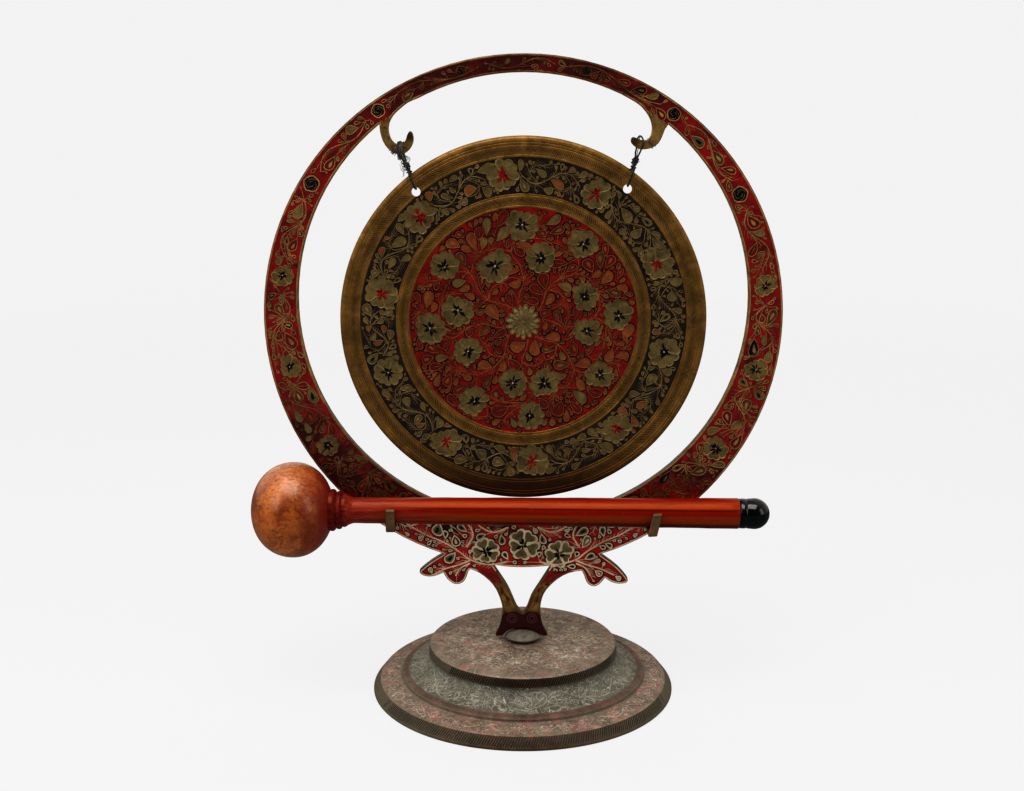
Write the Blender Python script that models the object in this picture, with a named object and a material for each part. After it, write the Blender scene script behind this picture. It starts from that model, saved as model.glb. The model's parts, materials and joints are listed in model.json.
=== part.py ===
"""Table gong on a ring stand, with its wooden beater.

A flat brass ring with two hooks stands on a hollow spun base.  The gong
hangs from the hooks on two cord ties, and the beater lies on two angle
rests in front of the ring.

Units are metres, +Z is up and -Y is the decorated front.  The origin is
on the table under the middle of the whole object's width, so the base's
own centre stands FRAME_X to the right of it.  Shapes are drawn from the
base's centre, and the root empty moves them into place.
"""
import math

import bmesh
import bpy
from mathutils import Matrix, Vector
from mathutils.geometry import tessellate_polygon

MM = 0.001
TAU = 2.0 * math.pi
GAP = 0.3 * MM                      # clearance between pieces that touch

# Base: a hollow shell, its height, outer radius, wall and centre hole
BASE_R = 72.9 * MM
BASE_TOP = 23.3 * MM
BASE_WALL = 1.6 * MM
BASE_HOLE_R = 3.4 * MM

# Foot flange on the base, and the stud, washer and nut that hold it
FLANGE_R = 8.7 * MM
FLANGE_FOOT_R = 6.0 * MM
FLANGE_LOW = 25.2 * MM
TONGUE_SIZE = (9.0 * MM, 2.6 * MM, 8.5 * MM)
TONGUE_PLACE = (0.0, 3.6 * MM, 29.6 * MM)
STUD_R = 2.9 * MM
STUD_END = 3.0 * MM                 # past the nut
WASHER_R = 9.0 * MM
WASHER_T = 1.2 * MM
NUT_T = 5.0 * MM
NUT_ACROSS = 5.8 * MM               # half the width over the corners' circle

# Ring plate: the outer and the inner circle have different centres
PLATE_T = 3.8 * MM
PLATE_CHAMFER = 0.35 * MM
RING_R = 120.25 * MM
RING_Z = 181.7 * MM
OPENING_R = 104.2 * MM
OPENING_Z = 189.5 * MM

# Gong: a disc with its edge turned back
GONG_R = 85.1 * MM
GONG_Z = 180.6 * MM
GONG_T = 1.6 * MM
GONG_FRONT = -1.3 * MM
GONG_DEPTH = 4.8 * MM
GONG_HOLE_R = 2.1 * MM
GONG_HOLE_PITCH_R = 77.4 * MM
GONG_HOLE_ANGLE = math.radians(38.45)   # from the vertical
GONG_ROLL = math.radians(0.8)           # it hangs a little lower on its left

# Ties: one loop of cord from each hook's bar to the gong's hole
LEFT_HOOK = Vector((-55.9, 0.0, 259.6)) * MM
RIGHT_HOOK = Vector((52.7, 0.0, 261.7)) * MM
CORD_R = 0.55 * MM
LOOP_R = 3.8 * MM
CORD_SPREAD = 1.2 * MM              # half the width of the loop at the hook
WHIPPING_R = 0.38 * MM
WHIPPING_LOW, WHIPPING_LENGTH = 0.555, 0.1      # shares of the tie's length
WHIPPING_HALF_DEPTH = 2.8 * MM
WHIPPING_HALF_WIDTH = 1.75 * MM
THREAD_R = 0.3 * MM
THREAD_PITCH = 0.9 * MM
THREAD_REACH = 3.15 * MM            # from the middle of the hook's bar

# Beater: built along X, then tilted a little and set in front of the ring
BEATER_Y = -12.0 * MM
BEATER_Z = 93.0 * MM                # axis height at the centre of the head
HEAD_X = -108.2 * MM
HEAD_R = 23.0 * MM
HEAD_HALF = 19.4 * MM
BEATER_TILT = math.radians(0.5)
SHAFT_THIN_R = 6.05 * MM
SHAFT_THICK_R = 7.2 * MM
SHAFT_START = 22.0 * MM             # measured from the head's centre
SHAFT_END = 209.6 * MM
KNOB_R = 7.3 * MM
KNOB_CENTRE = 6.8 * MM              # from the knob's face
TENON_R = 4.0 * MM
HANDLE_TENON = 11.0 * MM            # length into the head
KNOB_TENON = 8.0 * MM               # length into the handle
BORE_SPARE = 1.0 * MM               # bores are this much deeper than tenons

# The base's centre, from the middle of the whole width (head to ring)
FRAME_X = (HEAD_HALF - HEAD_X - RING_R) / 2

# Angle rests for the beater
REST_W = 4.2 * MM
REST_T = 2.0 * MM
REST_RISE = 9.0 * MM


# ---------------------------------------------------------------- helpers

def material(name, colour, roughness, metallic):
    """A Principled material with one colour, roughness and metallic value."""
    mat = bpy.data.materials.new(name)
    mat.use_nodes = True
    shader = mat.node_tree.nodes["Principled BSDF"]
    shader.inputs["Base Color"].default_value = (*colour, 1.0)
    shader.inputs["Roughness"].default_value = roughness
    shader.inputs["Metallic"].default_value = metallic
    mat.diffuse_color = (*colour, 1.0)
    return mat


def add_object(name, bm, mat, parent=None, smooth_angle=35.0):
    """Turn a bmesh into a shaded, named object under its parent."""
    bmesh.ops.recalc_face_normals(bm, faces=bm.faces[:])
    mesh = bpy.data.meshes.new(name)
    bm.to_mesh(mesh)
    bm.free()
    mesh.materials.append(mat)
    mesh.shade_smooth()
    mesh.set_sharp_from_angle(angle=math.radians(smooth_angle))
    obj = bpy.data.objects.new(name, mesh)
    bpy.context.scene.collection.objects.link(obj)
    obj.parent = parent
    return obj


def add_empty(name, location, parent=None):
    """A pivot that a moving body hangs from."""
    pivot = bpy.data.objects.new(name, None)
    pivot.empty_display_size = 0.01
    pivot.location = location
    bpy.context.scene.collection.objects.link(pivot)
    pivot.parent = parent
    return pivot


def cut(obj, cutter_bm):
    """Take a cutter's volume out of an object with a Boolean modifier."""
    bmesh.ops.recalc_face_normals(cutter_bm, faces=cutter_bm.faces[:])
    mesh = bpy.data.meshes.new(obj.name + "_cutter")
    cutter_bm.to_mesh(mesh)
    cutter_bm.free()
    cutter = bpy.data.objects.new(mesh.name, mesh)
    bpy.context.scene.collection.objects.link(cutter)
    cutter.parent = obj
    cutter.hide_render = True
    cutter.display_type = "WIRE"
    boolean = obj.modifiers.new("cut", "BOOLEAN")
    boolean.operation = "DIFFERENCE"
    boolean.solver = "EXACT"
    boolean.object = cutter


def spun(profile, steps, closed=False):
    """Spin an (r, z) profile round Z into a closed body.

    An open profile starts and ends on the axis.  A closed one is a
    section that stays clear of the axis.
    """
    bm = bmesh.new()
    verts = [bm.verts.new((r, 0.0, z)) for r, z in profile]
    edges = [bm.edges.new(pair) for pair in zip(verts, verts[1:])]
    if closed:
        edges.append(bm.edges.new((verts[-1], verts[0])))
    bmesh.ops.spin(bm, geom=verts + edges, cent=(0, 0, 0), axis=(0, 0, 1),
                   angle=TAU, steps=steps, use_merge=True)
    bmesh.ops.remove_doubles(bm, verts=bm.verts[:], dist=1e-6)
    return bm


def along_x(bm):
    """Turn a body spun round Z so that its axis lies along X."""
    bm.transform(Matrix.Rotation(math.radians(90.0), 4, "Y"))
    return bm


def arc(cx, cz, r, start, end, steps):
    """Points of a circular arc; angles in degrees from +X towards +Z."""
    points = []
    for i in range(steps + 1):
        a = math.radians(start + (end - start) * i / steps)
        points.append((cx + r * math.cos(a), cz + r * math.sin(a)))
    return points


def curve(points, steps=3, closed=False):
    """A Catmull-Rom curve through the points, in any dimension."""
    pts = [Vector(p) for p in points]
    count = len(pts)
    out = []
    for i in range(count if closed else count - 1):
        if closed:
            a, b, c, d = (pts[(i + k - 1) % count] for k in range(4))
        else:
            b, c = pts[i], pts[i + 1]
            a = pts[i - 1] if i else b + (b - c)
            d = pts[i + 2] if i + 2 < count else c + (c - b)
        for k in range(steps):
            t = k / steps
            out.append(0.5 * (2 * b + (c - a) * t
                              + (2 * a - 5 * b + 4 * c - d) * t ** 2
                              + (3 * b - a - 3 * c + d) * t ** 3))
    if not closed:
        out.append(pts[-1])
    return out


def tube(path, radius, sides, closed=False):
    """A round cord along a 3-D path, with flat ends when it is open."""
    bm = bmesh.new()
    count = len(path)
    rings = []
    normal = None
    for i, point in enumerate(path):
        if closed:
            tangent = path[(i + 1) % count] - path[i - 1]
        else:
            tangent = path[min(i + 1, count - 1)] - path[max(i - 1, 0)]
        tangent = tangent.normalized()
        if normal is None:
            normal = tangent.orthogonal()
        normal = (normal - tangent * normal.dot(tangent)).normalized()
        side = tangent.cross(normal)
        rings.append([bm.verts.new(point + radius * (normal * math.cos(TAU * k / sides)
                                                     + side * math.sin(TAU * k / sides)))
                      for k in range(sides)])
    for i in range(count if closed else count - 1):
        ring, following = rings[i], rings[(i + 1) % count]
        shift = 0
        if i == count - 1:
            # the frame has turned along the way: join the nearest vertices
            shift = min(range(sides), key=lambda k: (following[k].co - ring[0].co).length)
        for k in range(sides):
            bm.faces.new((ring[k], ring[(k + 1) % sides],
                          following[(k + 1 + shift) % sides], following[(k + shift) % sides]))
    if not closed:
        bm.faces.new(rings[0])
        bm.faces.new(rings[-1])
    return bm


def bevelled_box(size, centre, width):
    """A box with all its edges bevelled."""
    bm = bmesh.new()
    bmesh.ops.create_cube(bm, size=1.0)
    bmesh.ops.scale(bm, vec=size, verts=bm.verts)
    bmesh.ops.bevel(bm, geom=bm.edges[:], offset=width, segments=2,
                    profile=0.5, affect="EDGES")
    bmesh.ops.translate(bm, vec=centre, verts=bm.verts)
    return bm


# ------------------------------------------------------------ ring outline

def mm_points(*pairs):
    """Outline points given in millimetres."""
    return [(x * MM, z * MM) for x, z in pairs]


def left_foot_edge():
    """From the ring down round the left leaf and lobe, and down the leg."""
    leaf = mm_points((-38.0, 67.6), (-41.5, 65.6), (-45.2, 63.0), (-49.0, 59.8), (-49.9, 58.3),
                     (-48.4, 56.7), (-45.1, 56.0), (-41.7, 56.6), (-38.4, 58.0))
    lobe = mm_points((-38.4, 58.0), (-36.6, 54.9), (-33.9, 52.6), (-31.4, 52.2), (-28.8, 53.3),
                     (-27.3, 55.8), (-26.4, 58.6), (-25.3, 59.8))
    leg = mm_points((-25.3, 59.8), (-21.0, 57.9), (-16.2, 53.9), (-12.8, 49.2), (-10.5, 43.0),
                    (-9.8, 38.4), (-10.4, 33.8), (-11.4, 29.8), (-13.2, 26.2), (-12.5, 25.5))
    return curve(leaf, 2)[:-1] + curve(lobe, 2)[:-1] + curve(leg, 2)


def right_foot_edge():
    """From the right toe up the leg and round the lobe and leaf."""
    leg = mm_points((11.2, 25.5), (12.0, 26.2), (9.7, 30.6), (8.7, 35.0), (8.5, 40.0),
                    (9.2, 44.6), (11.3, 49.2), (16.5, 54.6), (22.4, 57.9), (28.4, 59.0))
    lobe = mm_points((28.4, 59.0), (29.6, 56.6), (30.6, 53.6), (32.2, 51.7), (34.5, 51.0),
                     (36.8, 52.0), (38.5, 53.8), (39.7, 55.4))
    leaf = mm_points((39.7, 55.4), (42.5, 53.4), (45.9, 52.4), (49.3, 52.7), (50.7, 53.9),
                     (49.8, 56.0), (46.2, 60.3), (42.0, 63.9), (37.2, 67.4))
    return curve(leg, 2)[:-1] + curve(lobe, 2)[:-1] + curve(leaf, 2)


def outer_outline():
    """The ring's outer circle, opened at the bottom for finials and foot."""
    circle = arc(0.0, RING_Z, RING_R, -72.0, 251.5, 100)
    arch = curve(mm_points((-10.0, 25.6), (-6.6, 28.6), (-0.8, 29.6), (4.8, 28.6), (8.4, 26.6), (9.4, 25.6)))
    return circle[1:-1] + left_foot_edge() + arch + right_foot_edge()


def left_hook_edge():
    """Left hook, from the ring's inner edge round the tip and back."""
    inner = mm_points((-47.6, 282.2), (-52.0, 280.4), (-55.9, 277.4), (-58.8, 274.6),
                      (-60.6, 271.3), (-60.9, 267.4), (-59.6, 263.7), (-57.2, 261.8), (-54.9, 261.9),
                      (-53.3, 263.7), (-52.6, 265.9))
    tip = mm_points((-51.4, 267.7), (-50.1, 266.6))
    outer = mm_points((-49.8, 263.6), (-50.9, 260.6), (-52.9, 258.4), (-55.6, 257.4), (-58.6, 258.0),
                      (-61.4, 260.1), (-63.6, 263.5), (-64.7, 267.6))
    return curve(inner + tip + outer, steps=2)


def right_hook_edge():
    """Right hook, from the ring round its outer side to the inner side."""
    outer = mm_points((63.6, 268.6), (62.4, 265.3), (60.9, 262.5), (58.5, 260.6), (55.6, 259.8),
                      (52.6, 259.7), (50.4, 260.8), (48.8, 262.4))
    tip = mm_points((48.5, 264.0), (49.4, 265.1), (51.1, 264.6))
    inner = mm_points((53.4, 263.7), (55.6, 263.8), (57.0, 264.9), (57.8, 267.1), (57.9, 269.9),
                      (57.1, 272.9), (55.3, 275.9), (52.9, 278.6), (50.3, 280.5), (46.9, 282.4))
    return curve(outer + tip + inner, steps=2)


def inner_outline():
    """The ring's inner circle with both hooks standing into it."""
    top = arc(0.0, OPENING_Z, OPENING_R, 65.0, 115.0, 16)
    rest = arc(0.0, OPENING_Z, OPENING_R, 128.6, 411.3, 80)
    return top + left_hook_edge() + rest + right_hook_edge()


def leg_opening():
    """The three-cornered opening between the legs."""
    top = mm_points((-14.5, 62.2), (-7.5, 61.1), (-0.7, 60.8), (6.0, 61.0), (13.5, 61.6))
    legs = mm_points((13.5, 61.6), (8.5, 53.3), (6.2, 49.6), (4.1, 45.9), (2.2, 40.6), (0.9, 38.2),
                     (0.0, 37.5), (-1.2, 38.2), (-3.1, 40.8), (-5.2, 45.9), (-6.8, 49.6),
                     (-8.8, 53.3), (-14.5, 62.2))
    return curve(top)[:-1] + curve(legs, 2)[:-1]


def inset(outline, distance):
    """Move a closed outline's points to the left of their direction."""
    count = len(outline)
    moved = []
    for i in range(count):
        before, here, after = (Vector(outline[k % count]) for k in (i - 1, i, i + 1))
        first = (here - before).normalized()
        second = (after - here).normalized()
        bisector = (first + second).normalized()
        normal = Vector((-bisector.y, bisector.x))
        spread = max(normal.dot(Vector((-first.y, first.x))), 0.6)
        moved.append(here + normal * distance / spread)
    return moved


def anticlockwise(outline, wanted):
    """The outline in the wanted direction."""
    pts = [Vector(p) for p in outline]
    area = sum(p.x * q.y - q.x * p.y for p, q in zip(pts, pts[1:] + pts[:1]))
    return pts if (area > 0) == wanted else pts[::-1]


def plate(outer, holes):
    """A flat plate in the XZ plane with holes and chamfered edges."""
    bm = bmesh.new()
    half = PLATE_T / 2
    outlines = [anticlockwise(outer, True)] + [anticlockwise(h, False) for h in holes]
    face_verts = {-1: [], 1: []}
    for outline in outlines:
        narrow = inset(outline, PLATE_CHAMFER)
        levels = []
        for y, points in ((-half, narrow), (PLATE_CHAMFER - half, outline),
                          (half - PLATE_CHAMFER, outline), (half, narrow)):
            levels.append([bm.verts.new((p.x, y, p.y)) for p in points])
        for low, high in zip(levels, levels[1:]):
            for i in range(len(low)):
                j = (i + 1) % len(low)
                bm.faces.new((low[i], low[j], high[j], high[i]))
        face_verts[-1].append(levels[0])
        face_verts[1].append(levels[-1])
    for loops in face_verts.values():
        flat = [v for loop in loops for v in loop]
        for tri in tessellate_polygon([[v.co.xzy for v in loop] for loop in loops]):
            bm.faces.new([flat[i] for i in tri])
    return bm


# ------------------------------------------------------------------- base

def base_profile():
    """Outer section of the base, from the centre hole to the foot edge."""
    shoulder = mm_points((41.0, 23.3), (43.6, 23.05), (44.8, 22.7), (45.25, 22.1))
    band = mm_points((45.8, 18.2), (45.6, 17.2))
    cove = mm_points((45.8, 16.0), (46.9, 14.2), (48.8, 12.3), (51.6, 10.8), (55.6, 9.95))
    step = mm_points((58.6, 9.4), (59.4, 7.4), (60.4, 6.8))
    flange = mm_points((66.0, 6.2), (69.6, 5.3), (72.4, 1.8)) + [(BASE_R, 0.9 * MM), (BASE_R, 0.0)]
    return [(BASE_HOLE_R, BASE_TOP)] + shoulder + band + cove + step + flange


def make_base(mat, root):
    """Hollow spun base: the outer section and an inner one a wall inside."""
    inner = mm_points((71.0, 0.0), (71.0, 1.2), (68.6, 3.8), (58.6, 4.9), (56.8, 7.4), (51.2, 8.9),
                      (47.6, 11.0), (45.2, 14.0), (44.2, 17.0), (43.8, 20.6), (42.4, 21.7))
    inner.append((BASE_HOLE_R, BASE_TOP - BASE_WALL))
    return add_object("base_shell", spun(base_profile() + inner, 60, closed=True), mat, root)


def make_foot_flange(mat, root):
    """Domed flange the ring stands on, with a tongue behind the plate."""
    profile = [(0.0, BASE_TOP + GAP), (FLANGE_FOOT_R, BASE_TOP + GAP), (FLANGE_FOOT_R, FLANGE_LOW),
               (FLANGE_R, FLANGE_LOW)]
    profile += mm_points((8.65, 25.6), (8.0, 26.2), (6.6, 27.1), (4.8, 27.9), (2.6, 28.5), (0.0, 28.7))
    obj = add_object("foot_flange", spun(profile, 28), mat, root)
    tongue = bevelled_box(TONGUE_SIZE, TONGUE_PLACE, 0.3 * MM)
    bmesh.ops.recalc_face_normals(tongue, faces=tongue.faces[:])
    mesh = bpy.data.meshes.new("foot_tongue")
    tongue.to_mesh(mesh)
    tongue.free()
    helper = bpy.data.objects.new("foot_tongue", mesh)
    bpy.context.scene.collection.objects.link(helper)
    helper.parent = obj
    helper.hide_render = True
    helper.display_type = "WIRE"
    join = obj.modifiers.new("tongue", "BOOLEAN")
    join.operation = "UNION"
    join.solver = "EXACT"
    join.object = helper
    return obj


def make_fastening(steel, brass, root):
    """Stud under the flange, with its washer and nut inside the base."""
    ceiling = BASE_TOP - BASE_WALL - GAP
    washer_low = ceiling - WASHER_T
    nut_high = washer_low - GAP
    nut_low = nut_high - NUT_T
    bore = STUD_R + GAP
    stud_low = nut_low - STUD_END
    stud = [(0.0, stud_low), (STUD_R - 0.5 * MM, stud_low), (STUD_R, stud_low + 0.5 * MM),
            (STUD_R, BASE_TOP), (0.0, BASE_TOP)]
    add_object("stand_stud", spun(stud, 24), steel, root)
    washer = [(bore, washer_low), (WASHER_R, washer_low), (WASHER_R, ceiling), (bore, ceiling)]
    add_object("base_washer", spun(washer, 32, closed=True), brass, root)
    nut = spun([(bore, nut_low), (NUT_ACROSS, nut_low), (NUT_ACROSS, nut_high), (bore, nut_high)],
               24, closed=True)
    between = (bore + NUT_ACROSS) / 2
    for vert in nut.verts:
        x, y = vert.co.x, vert.co.y
        if math.hypot(x, y) > between:
            turn = math.atan2(y, x) % (TAU / 6) - TAU / 12
            vert.co.x *= math.cos(TAU / 12) / math.cos(turn)
            vert.co.y *= math.cos(TAU / 12) / math.cos(turn)
    add_object("base_nut", nut, steel, root, smooth_angle=20.0)


# ---------------------------------------------------------------- the ring

def make_ring(mat, root):
    """Ring plate with its two hooks, finials and splayed foot."""
    bm = plate(outer_outline(), [inner_outline(), leg_opening()])
    return add_object("ring_frame", bm, mat, root)


def beater_axis_z(x):
    """Height of the beater's axis at a place along X."""
    return BEATER_Z - (x - HEAD_X) * math.tan(BEATER_TILT)


def shaft_radius(x):
    """The handle thickens evenly from the head to the knob."""
    share = (x - HEAD_X - SHAFT_START) / (SHAFT_END - SHAFT_START)
    return SHAFT_THIN_R + (SHAFT_THICK_R - SHAFT_THIN_R) * share


def make_rest(name, x, lean, turn, mat, root):
    """Angle rest: a strap out from the ring, turned up before the beater."""
    radius = shaft_radius(x)
    deck = beater_axis_z(x) - radius - GAP
    inside = BEATER_Y - radius - GAP
    outside = inside - REST_T
    back = -PLATE_T / 2 - GAP
    section = [(back, deck), (back, deck - REST_T)]
    section += arc(outside + REST_T, deck, REST_T, 270, 180, 4)
    section += [(outside, deck + REST_RISE), (inside, deck + REST_RISE + 0.4 * MM), (inside, deck)]
    bm = bmesh.new()
    sides = []
    for offset in (-REST_W / 2, REST_W / 2):
        sides.append([bm.verts.new((offset, y, z)) for y, z in section])
    bm.faces.new(sides[0])
    bm.faces.new(sides[1][::-1])
    for i in range(len(section)):
        j = (i + 1) % len(section)
        bm.faces.new((sides[0][i], sides[1][i], sides[1][j], sides[0][j]))
    bmesh.ops.recalc_face_normals(bm, faces=bm.faces[:])
    bmesh.ops.bevel(bm, geom=[e for e in bm.edges if e.calc_face_angle(0) > 1.0],
                    offset=0.3 * MM, segments=1, affect="EDGES")
    for vert in bm.verts:
        height = max(vert.co.z - deck - 0.5 * MM, 0.0)
        vert.co.x += height * lean
        if vert.co.y < inside + 0.1 * MM:
            vert.co.y += (vert.co.x - height * lean - REST_W / 2) * turn
    bmesh.ops.translate(bm, vec=(x, 0.0, 0.0), verts=bm.verts)
    return add_object(name, bm, mat, root)


# ---------------------------------------------------------------- the gong

def hole_place(side):
    """Centre of a gong hole; side is -1 for the left and 1 for the right."""
    angle = math.pi / 2 - side * GONG_HOLE_ANGLE + GONG_ROLL
    return Vector((GONG_HOLE_PITCH_R * math.cos(angle), 0.0,
                   GONG_Z + GONG_HOLE_PITCH_R * math.sin(angle)))


def make_gong(mat, pivot):
    """Disc with a turned-back edge and two cord holes near its rim."""
    bend = 1.6 * MM
    rim_in = GONG_R - GONG_T
    profile = [(0.0, 0.0)] + arc(GONG_R - bend, -bend, bend, 90, 0, 4)
    profile += [(GONG_R, -GONG_DEPTH), (rim_in, -GONG_DEPTH), (rim_in, -GONG_T), (0.0, -GONG_T)]
    bm = spun(profile, 84)
    bm.transform(Matrix.Rotation(math.radians(90.0), 4, "X"))
    bmesh.ops.translate(bm, vec=(0.0, GONG_FRONT, GONG_Z), verts=bm.verts)
    bmesh.ops.translate(bm, vec=-pivot.location, verts=bm.verts)
    obj = add_object("gong_disc", bm, mat, pivot)
    drills = bmesh.new()
    for side in (-1, 1):
        spot = hole_place(side) - pivot.location
        turn = Matrix.Rotation(math.radians(90.0), 4, "X")
        bmesh.ops.create_cone(drills, cap_ends=True, segments=20, radius1=GONG_HOLE_R,
                              radius2=GONG_HOLE_R, depth=12 * MM,
                              matrix=Matrix.Translation(spot) @ turn)
    cut(obj, drills)
    return obj


def tie_point(side, share, y=0.0, x=0.0):
    """A point beside the tie's middle line; share runs from hole to hook."""
    hook = LEFT_HOOK if side < 0 else RIGHT_HOOK
    hole = hole_place(side)
    low = hole.z + GONG_HOLE_R - CORD_R - 0.35 * MM
    return Vector((hole.x + (hook.x - hole.x) * share + x, y, low + (hook.z - low) * share))


def tie_path(side):
    """Closed loop round the hook's bar, down past the rim, through the hole.

    Strands pass in front of the gong and behind it, far enough out for its
    edge to turn between them.
    """
    hook = LEFT_HOOK if side < 0 else RIGHT_HOOK
    front = [(-3.9, 0.86), (-3.3, 0.78), (-1.9, 0.7), (-1.4, 0.64), (-1.4, 0.56),
             (-2.2, 0.5), (-3.6, 0.44), (-4.1, 0.25), (-3.1, 0.07), (-1.6, 0.01)]
    back = [(1.2, 0.01), (3.6, 0.07), (5.0, 0.25), (4.9, 0.43), (2.9, 0.5),
            (1.4, 0.56), (1.4, 0.64), (1.9, 0.7), (3.3, 0.78), (3.9, 0.86)]
    path = []
    for y, share in curve(front, 2) + curve(back, 2):
        lean = CORD_SPREAD * max(share - 0.6, 0.0) * 2.5 * (1 if y > 0 else -1) * -side
        path.append(tie_point(side, share, y * MM, lean))
    for angle in range(20, 180, 16):
        a = math.radians(angle)
        slide = CORD_SPREAD * math.cos(a) * -side
        path.append(hook + Vector((slide, LOOP_R * math.cos(a), LOOP_R * math.sin(a))))
    return path


def make_tie(name, side, mat, pivot):
    """One closed loop of cord."""
    path = [p - pivot.location for p in tie_path(side)]
    return add_object(name, tube(path, CORD_R, 6, closed=True), mat, pivot, 60.0)


def make_knot(name, side, mat, pivot):
    """Turns of cord whipped round the two strands between hook and rim."""
    turns = 2
    steps = turns * 12
    path = []
    for i in range(steps + 1):
        a = TAU * i / 12
        spot = tie_point(side, WHIPPING_LOW + WHIPPING_LENGTH * i / steps,
                         WHIPPING_HALF_DEPTH * math.sin(a), WHIPPING_HALF_WIDTH * math.cos(a))
        path.append(spot - pivot.location)
    return add_object(name, tube(path, WHIPPING_R, 6), mat, pivot, 60.0)


def make_binding(name, centre, along, turns, mat, root):
    """Fine thread wound round the bar of a hook, beside the tie."""
    per_turn = 12
    axis = Vector(along).normalized()
    across = Vector((0.0, 1.0, 0.0))
    upward = across.cross(axis)
    path = []
    for i in range(turns * per_turn + 1):
        a = TAU * i / per_turn
        shift = axis * THREAD_PITCH * (i / per_turn - turns / 2)
        out = across * math.cos(a) + upward * math.sin(a)
        path.append(Vector(centre) + shift + THREAD_REACH * out)
    return add_object(name, tube(path, THREAD_R, 5), mat, root, 60.0)


# -------------------------------------------------------------- the beater

def make_head(mat, pivot):
    """Oblate wooden ball with a blind bore for the handle's tenon."""
    bore = TENON_R + GAP
    depth = HANDLE_TENON + BORE_SPARE
    start = math.asin(bore / HEAD_R)
    ball = []
    for i in range(13):
        a = start + (math.pi - start) * i / 12
        ball.append((HEAD_R * math.sin(a), HEAD_HALF * math.cos(a)))
    ball[-1] = (0.0, -HEAD_HALF)
    mouth = ball[0][1]
    profile = [(0.0, mouth - depth), (bore, mouth - depth)] + ball
    bm = along_x(spun(profile, 40))
    return add_object("beater_head", bm, mat, pivot)


def make_shaft(mat, pivot):
    """Turned handle: tenon, two collar beads, then the tapering grip."""
    collar = HEAD_HALF * math.sqrt(1 - (TENON_R / HEAD_R) ** 2) + GAP
    beads = mm_points((9.2, 0.0), (9.9, 1.0), (9.2, 2.2), (8.0, 2.9), (7.7, 3.4), (8.1, 4.1),
                      (7.6, 4.9), (6.4, 5.6))
    profile = [(0.0, collar - HANDLE_TENON), (TENON_R, collar - HANDLE_TENON), (TENON_R, collar)]
    profile += [(r, collar + x) for r, x in beads]
    profile += [(SHAFT_THIN_R, collar + 7.0 * MM),
                (SHAFT_THICK_R - 0.3 * MM, SHAFT_END - 1.0 * MM),
                (SHAFT_THICK_R - 0.8 * MM, SHAFT_END)]
    socket = TENON_R + GAP
    floor = SHAFT_END - KNOB_TENON - BORE_SPARE
    profile += [(socket, SHAFT_END), (socket, floor), (0.0, floor)]
    bm = along_x(spun(profile, 36))
    return add_object("beater_shaft", bm, mat, pivot)


def make_knob(mat, pivot):
    """Black end knob with a short neck and a tenon into the handle."""
    start = SHAFT_END + GAP
    centre = start + KNOB_CENTRE
    profile = [(0.0, start - KNOB_TENON), (TENON_R, start - KNOB_TENON), (TENON_R, start),
               (6.6 * MM, start), (6.9 * MM, start + 0.6 * MM), (6.7 * MM, start + 2.4 * MM)]
    for i in range(8):
        a = math.radians(58 - 148 * i / 7)
        profile.append((KNOB_R * math.cos(a), centre - KNOB_R * math.sin(a)))
    profile = [p for p in profile if p[1] <= start + 2.4 * MM or p[1] > start + 3.0 * MM]
    profile[-1] = (0.0, centre + KNOB_R)
    bm = along_x(spun(profile, 36))
    return add_object("beater_knob", bm, mat, pivot)


# ---------------------------------------------------------------- assembly

def clear_scene():
    """Start from an empty scene."""
    for obj in list(bpy.data.objects):
        bpy.data.objects.remove(obj, do_unlink=True)


def build():
    """Make every piece and hang the moving ones on their pivots."""
    clear_scene()
    enamel = material("red_enamel", (0.24, 0.02, 0.02), 0.4, 0.2)
    brass = material("old_brass", (0.23, 0.16, 0.06), 0.42, 0.9)
    bronze = material("dull_brass", (0.26, 0.2, 0.16), 0.55, 0.7)
    gong_brass = material("gong_brass", (0.17, 0.11, 0.04), 0.38, 0.9)
    steel = material("plain_steel", (0.4, 0.4, 0.4), 0.35, 1.0)
    cord = material("black_cord", (0.012, 0.012, 0.013), 0.75, 0.0)
    thread = material("grey_thread", (0.2, 0.18, 0.17), 0.85, 0.0)
    head_wood = material("orange_wood", (0.42, 0.12, 0.03), 0.28, 0.0)
    shaft_wood = material("red_wood", (0.3, 0.05, 0.015), 0.25, 0.0)
    black = material("black_gloss", (0.006, 0.007, 0.01), 0.12, 0.0)

    root = add_empty("root", (FRAME_X, 0.0, 0.0))
    make_base(bronze, root)
    make_foot_flange(bronze, root)
    make_fastening(steel, brass, root)
    make_ring(enamel, root)
    make_rest("left_beater_rest", -62.0 * MM, 0.0, 0.0, brass, root)
    make_rest("right_beater_rest", 60.4 * MM, 0.24, 0.2, brass, root)
    make_binding("left_hook_thread", Vector((-60.0, 0.0, 261.6)) * MM, (0.72, 0.0, -0.69), 3,
                 thread, root)
    make_binding("right_hook_thread", Vector((57.2, 0.0, 262.2)) * MM, (0.86, 0.0, 0.5), 2,
                 thread, root)

    left = add_empty("left_tie_pivot", LEFT_HOOK, root)
    right = add_empty("right_tie_pivot", RIGHT_HOOK, root)
    gong = add_empty("gong_pivot", hole_place(-1) + Vector((0.0, 0.0, 1.5 * MM)), root)
    beater = add_empty("beater_pivot", (HEAD_X, BEATER_Y, BEATER_Z), root)
    beater.rotation_euler = (0.0, BEATER_TILT, 0.0)

    make_gong(gong_brass, gong)
    make_tie("left_tie_cord", -1, cord, left)
    make_tie("right_tie_cord", 1, cord, right)
    make_knot("left_tie_knot", -1, cord, left)
    make_knot("right_tie_knot", 1, cord, right)
    make_head(head_wood, beater)
    make_shaft(shaft_wood, beater)
    make_knob(black, beater)


build()
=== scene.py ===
"""The table gong's looks: engraved and enamelled brass, varnished wood and cord.

Everything is drawn in millimetres round the base's centre line, and placed
from the CAD frame's own boxes, outlines and hinges.
"""

import json
import math
import random

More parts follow.
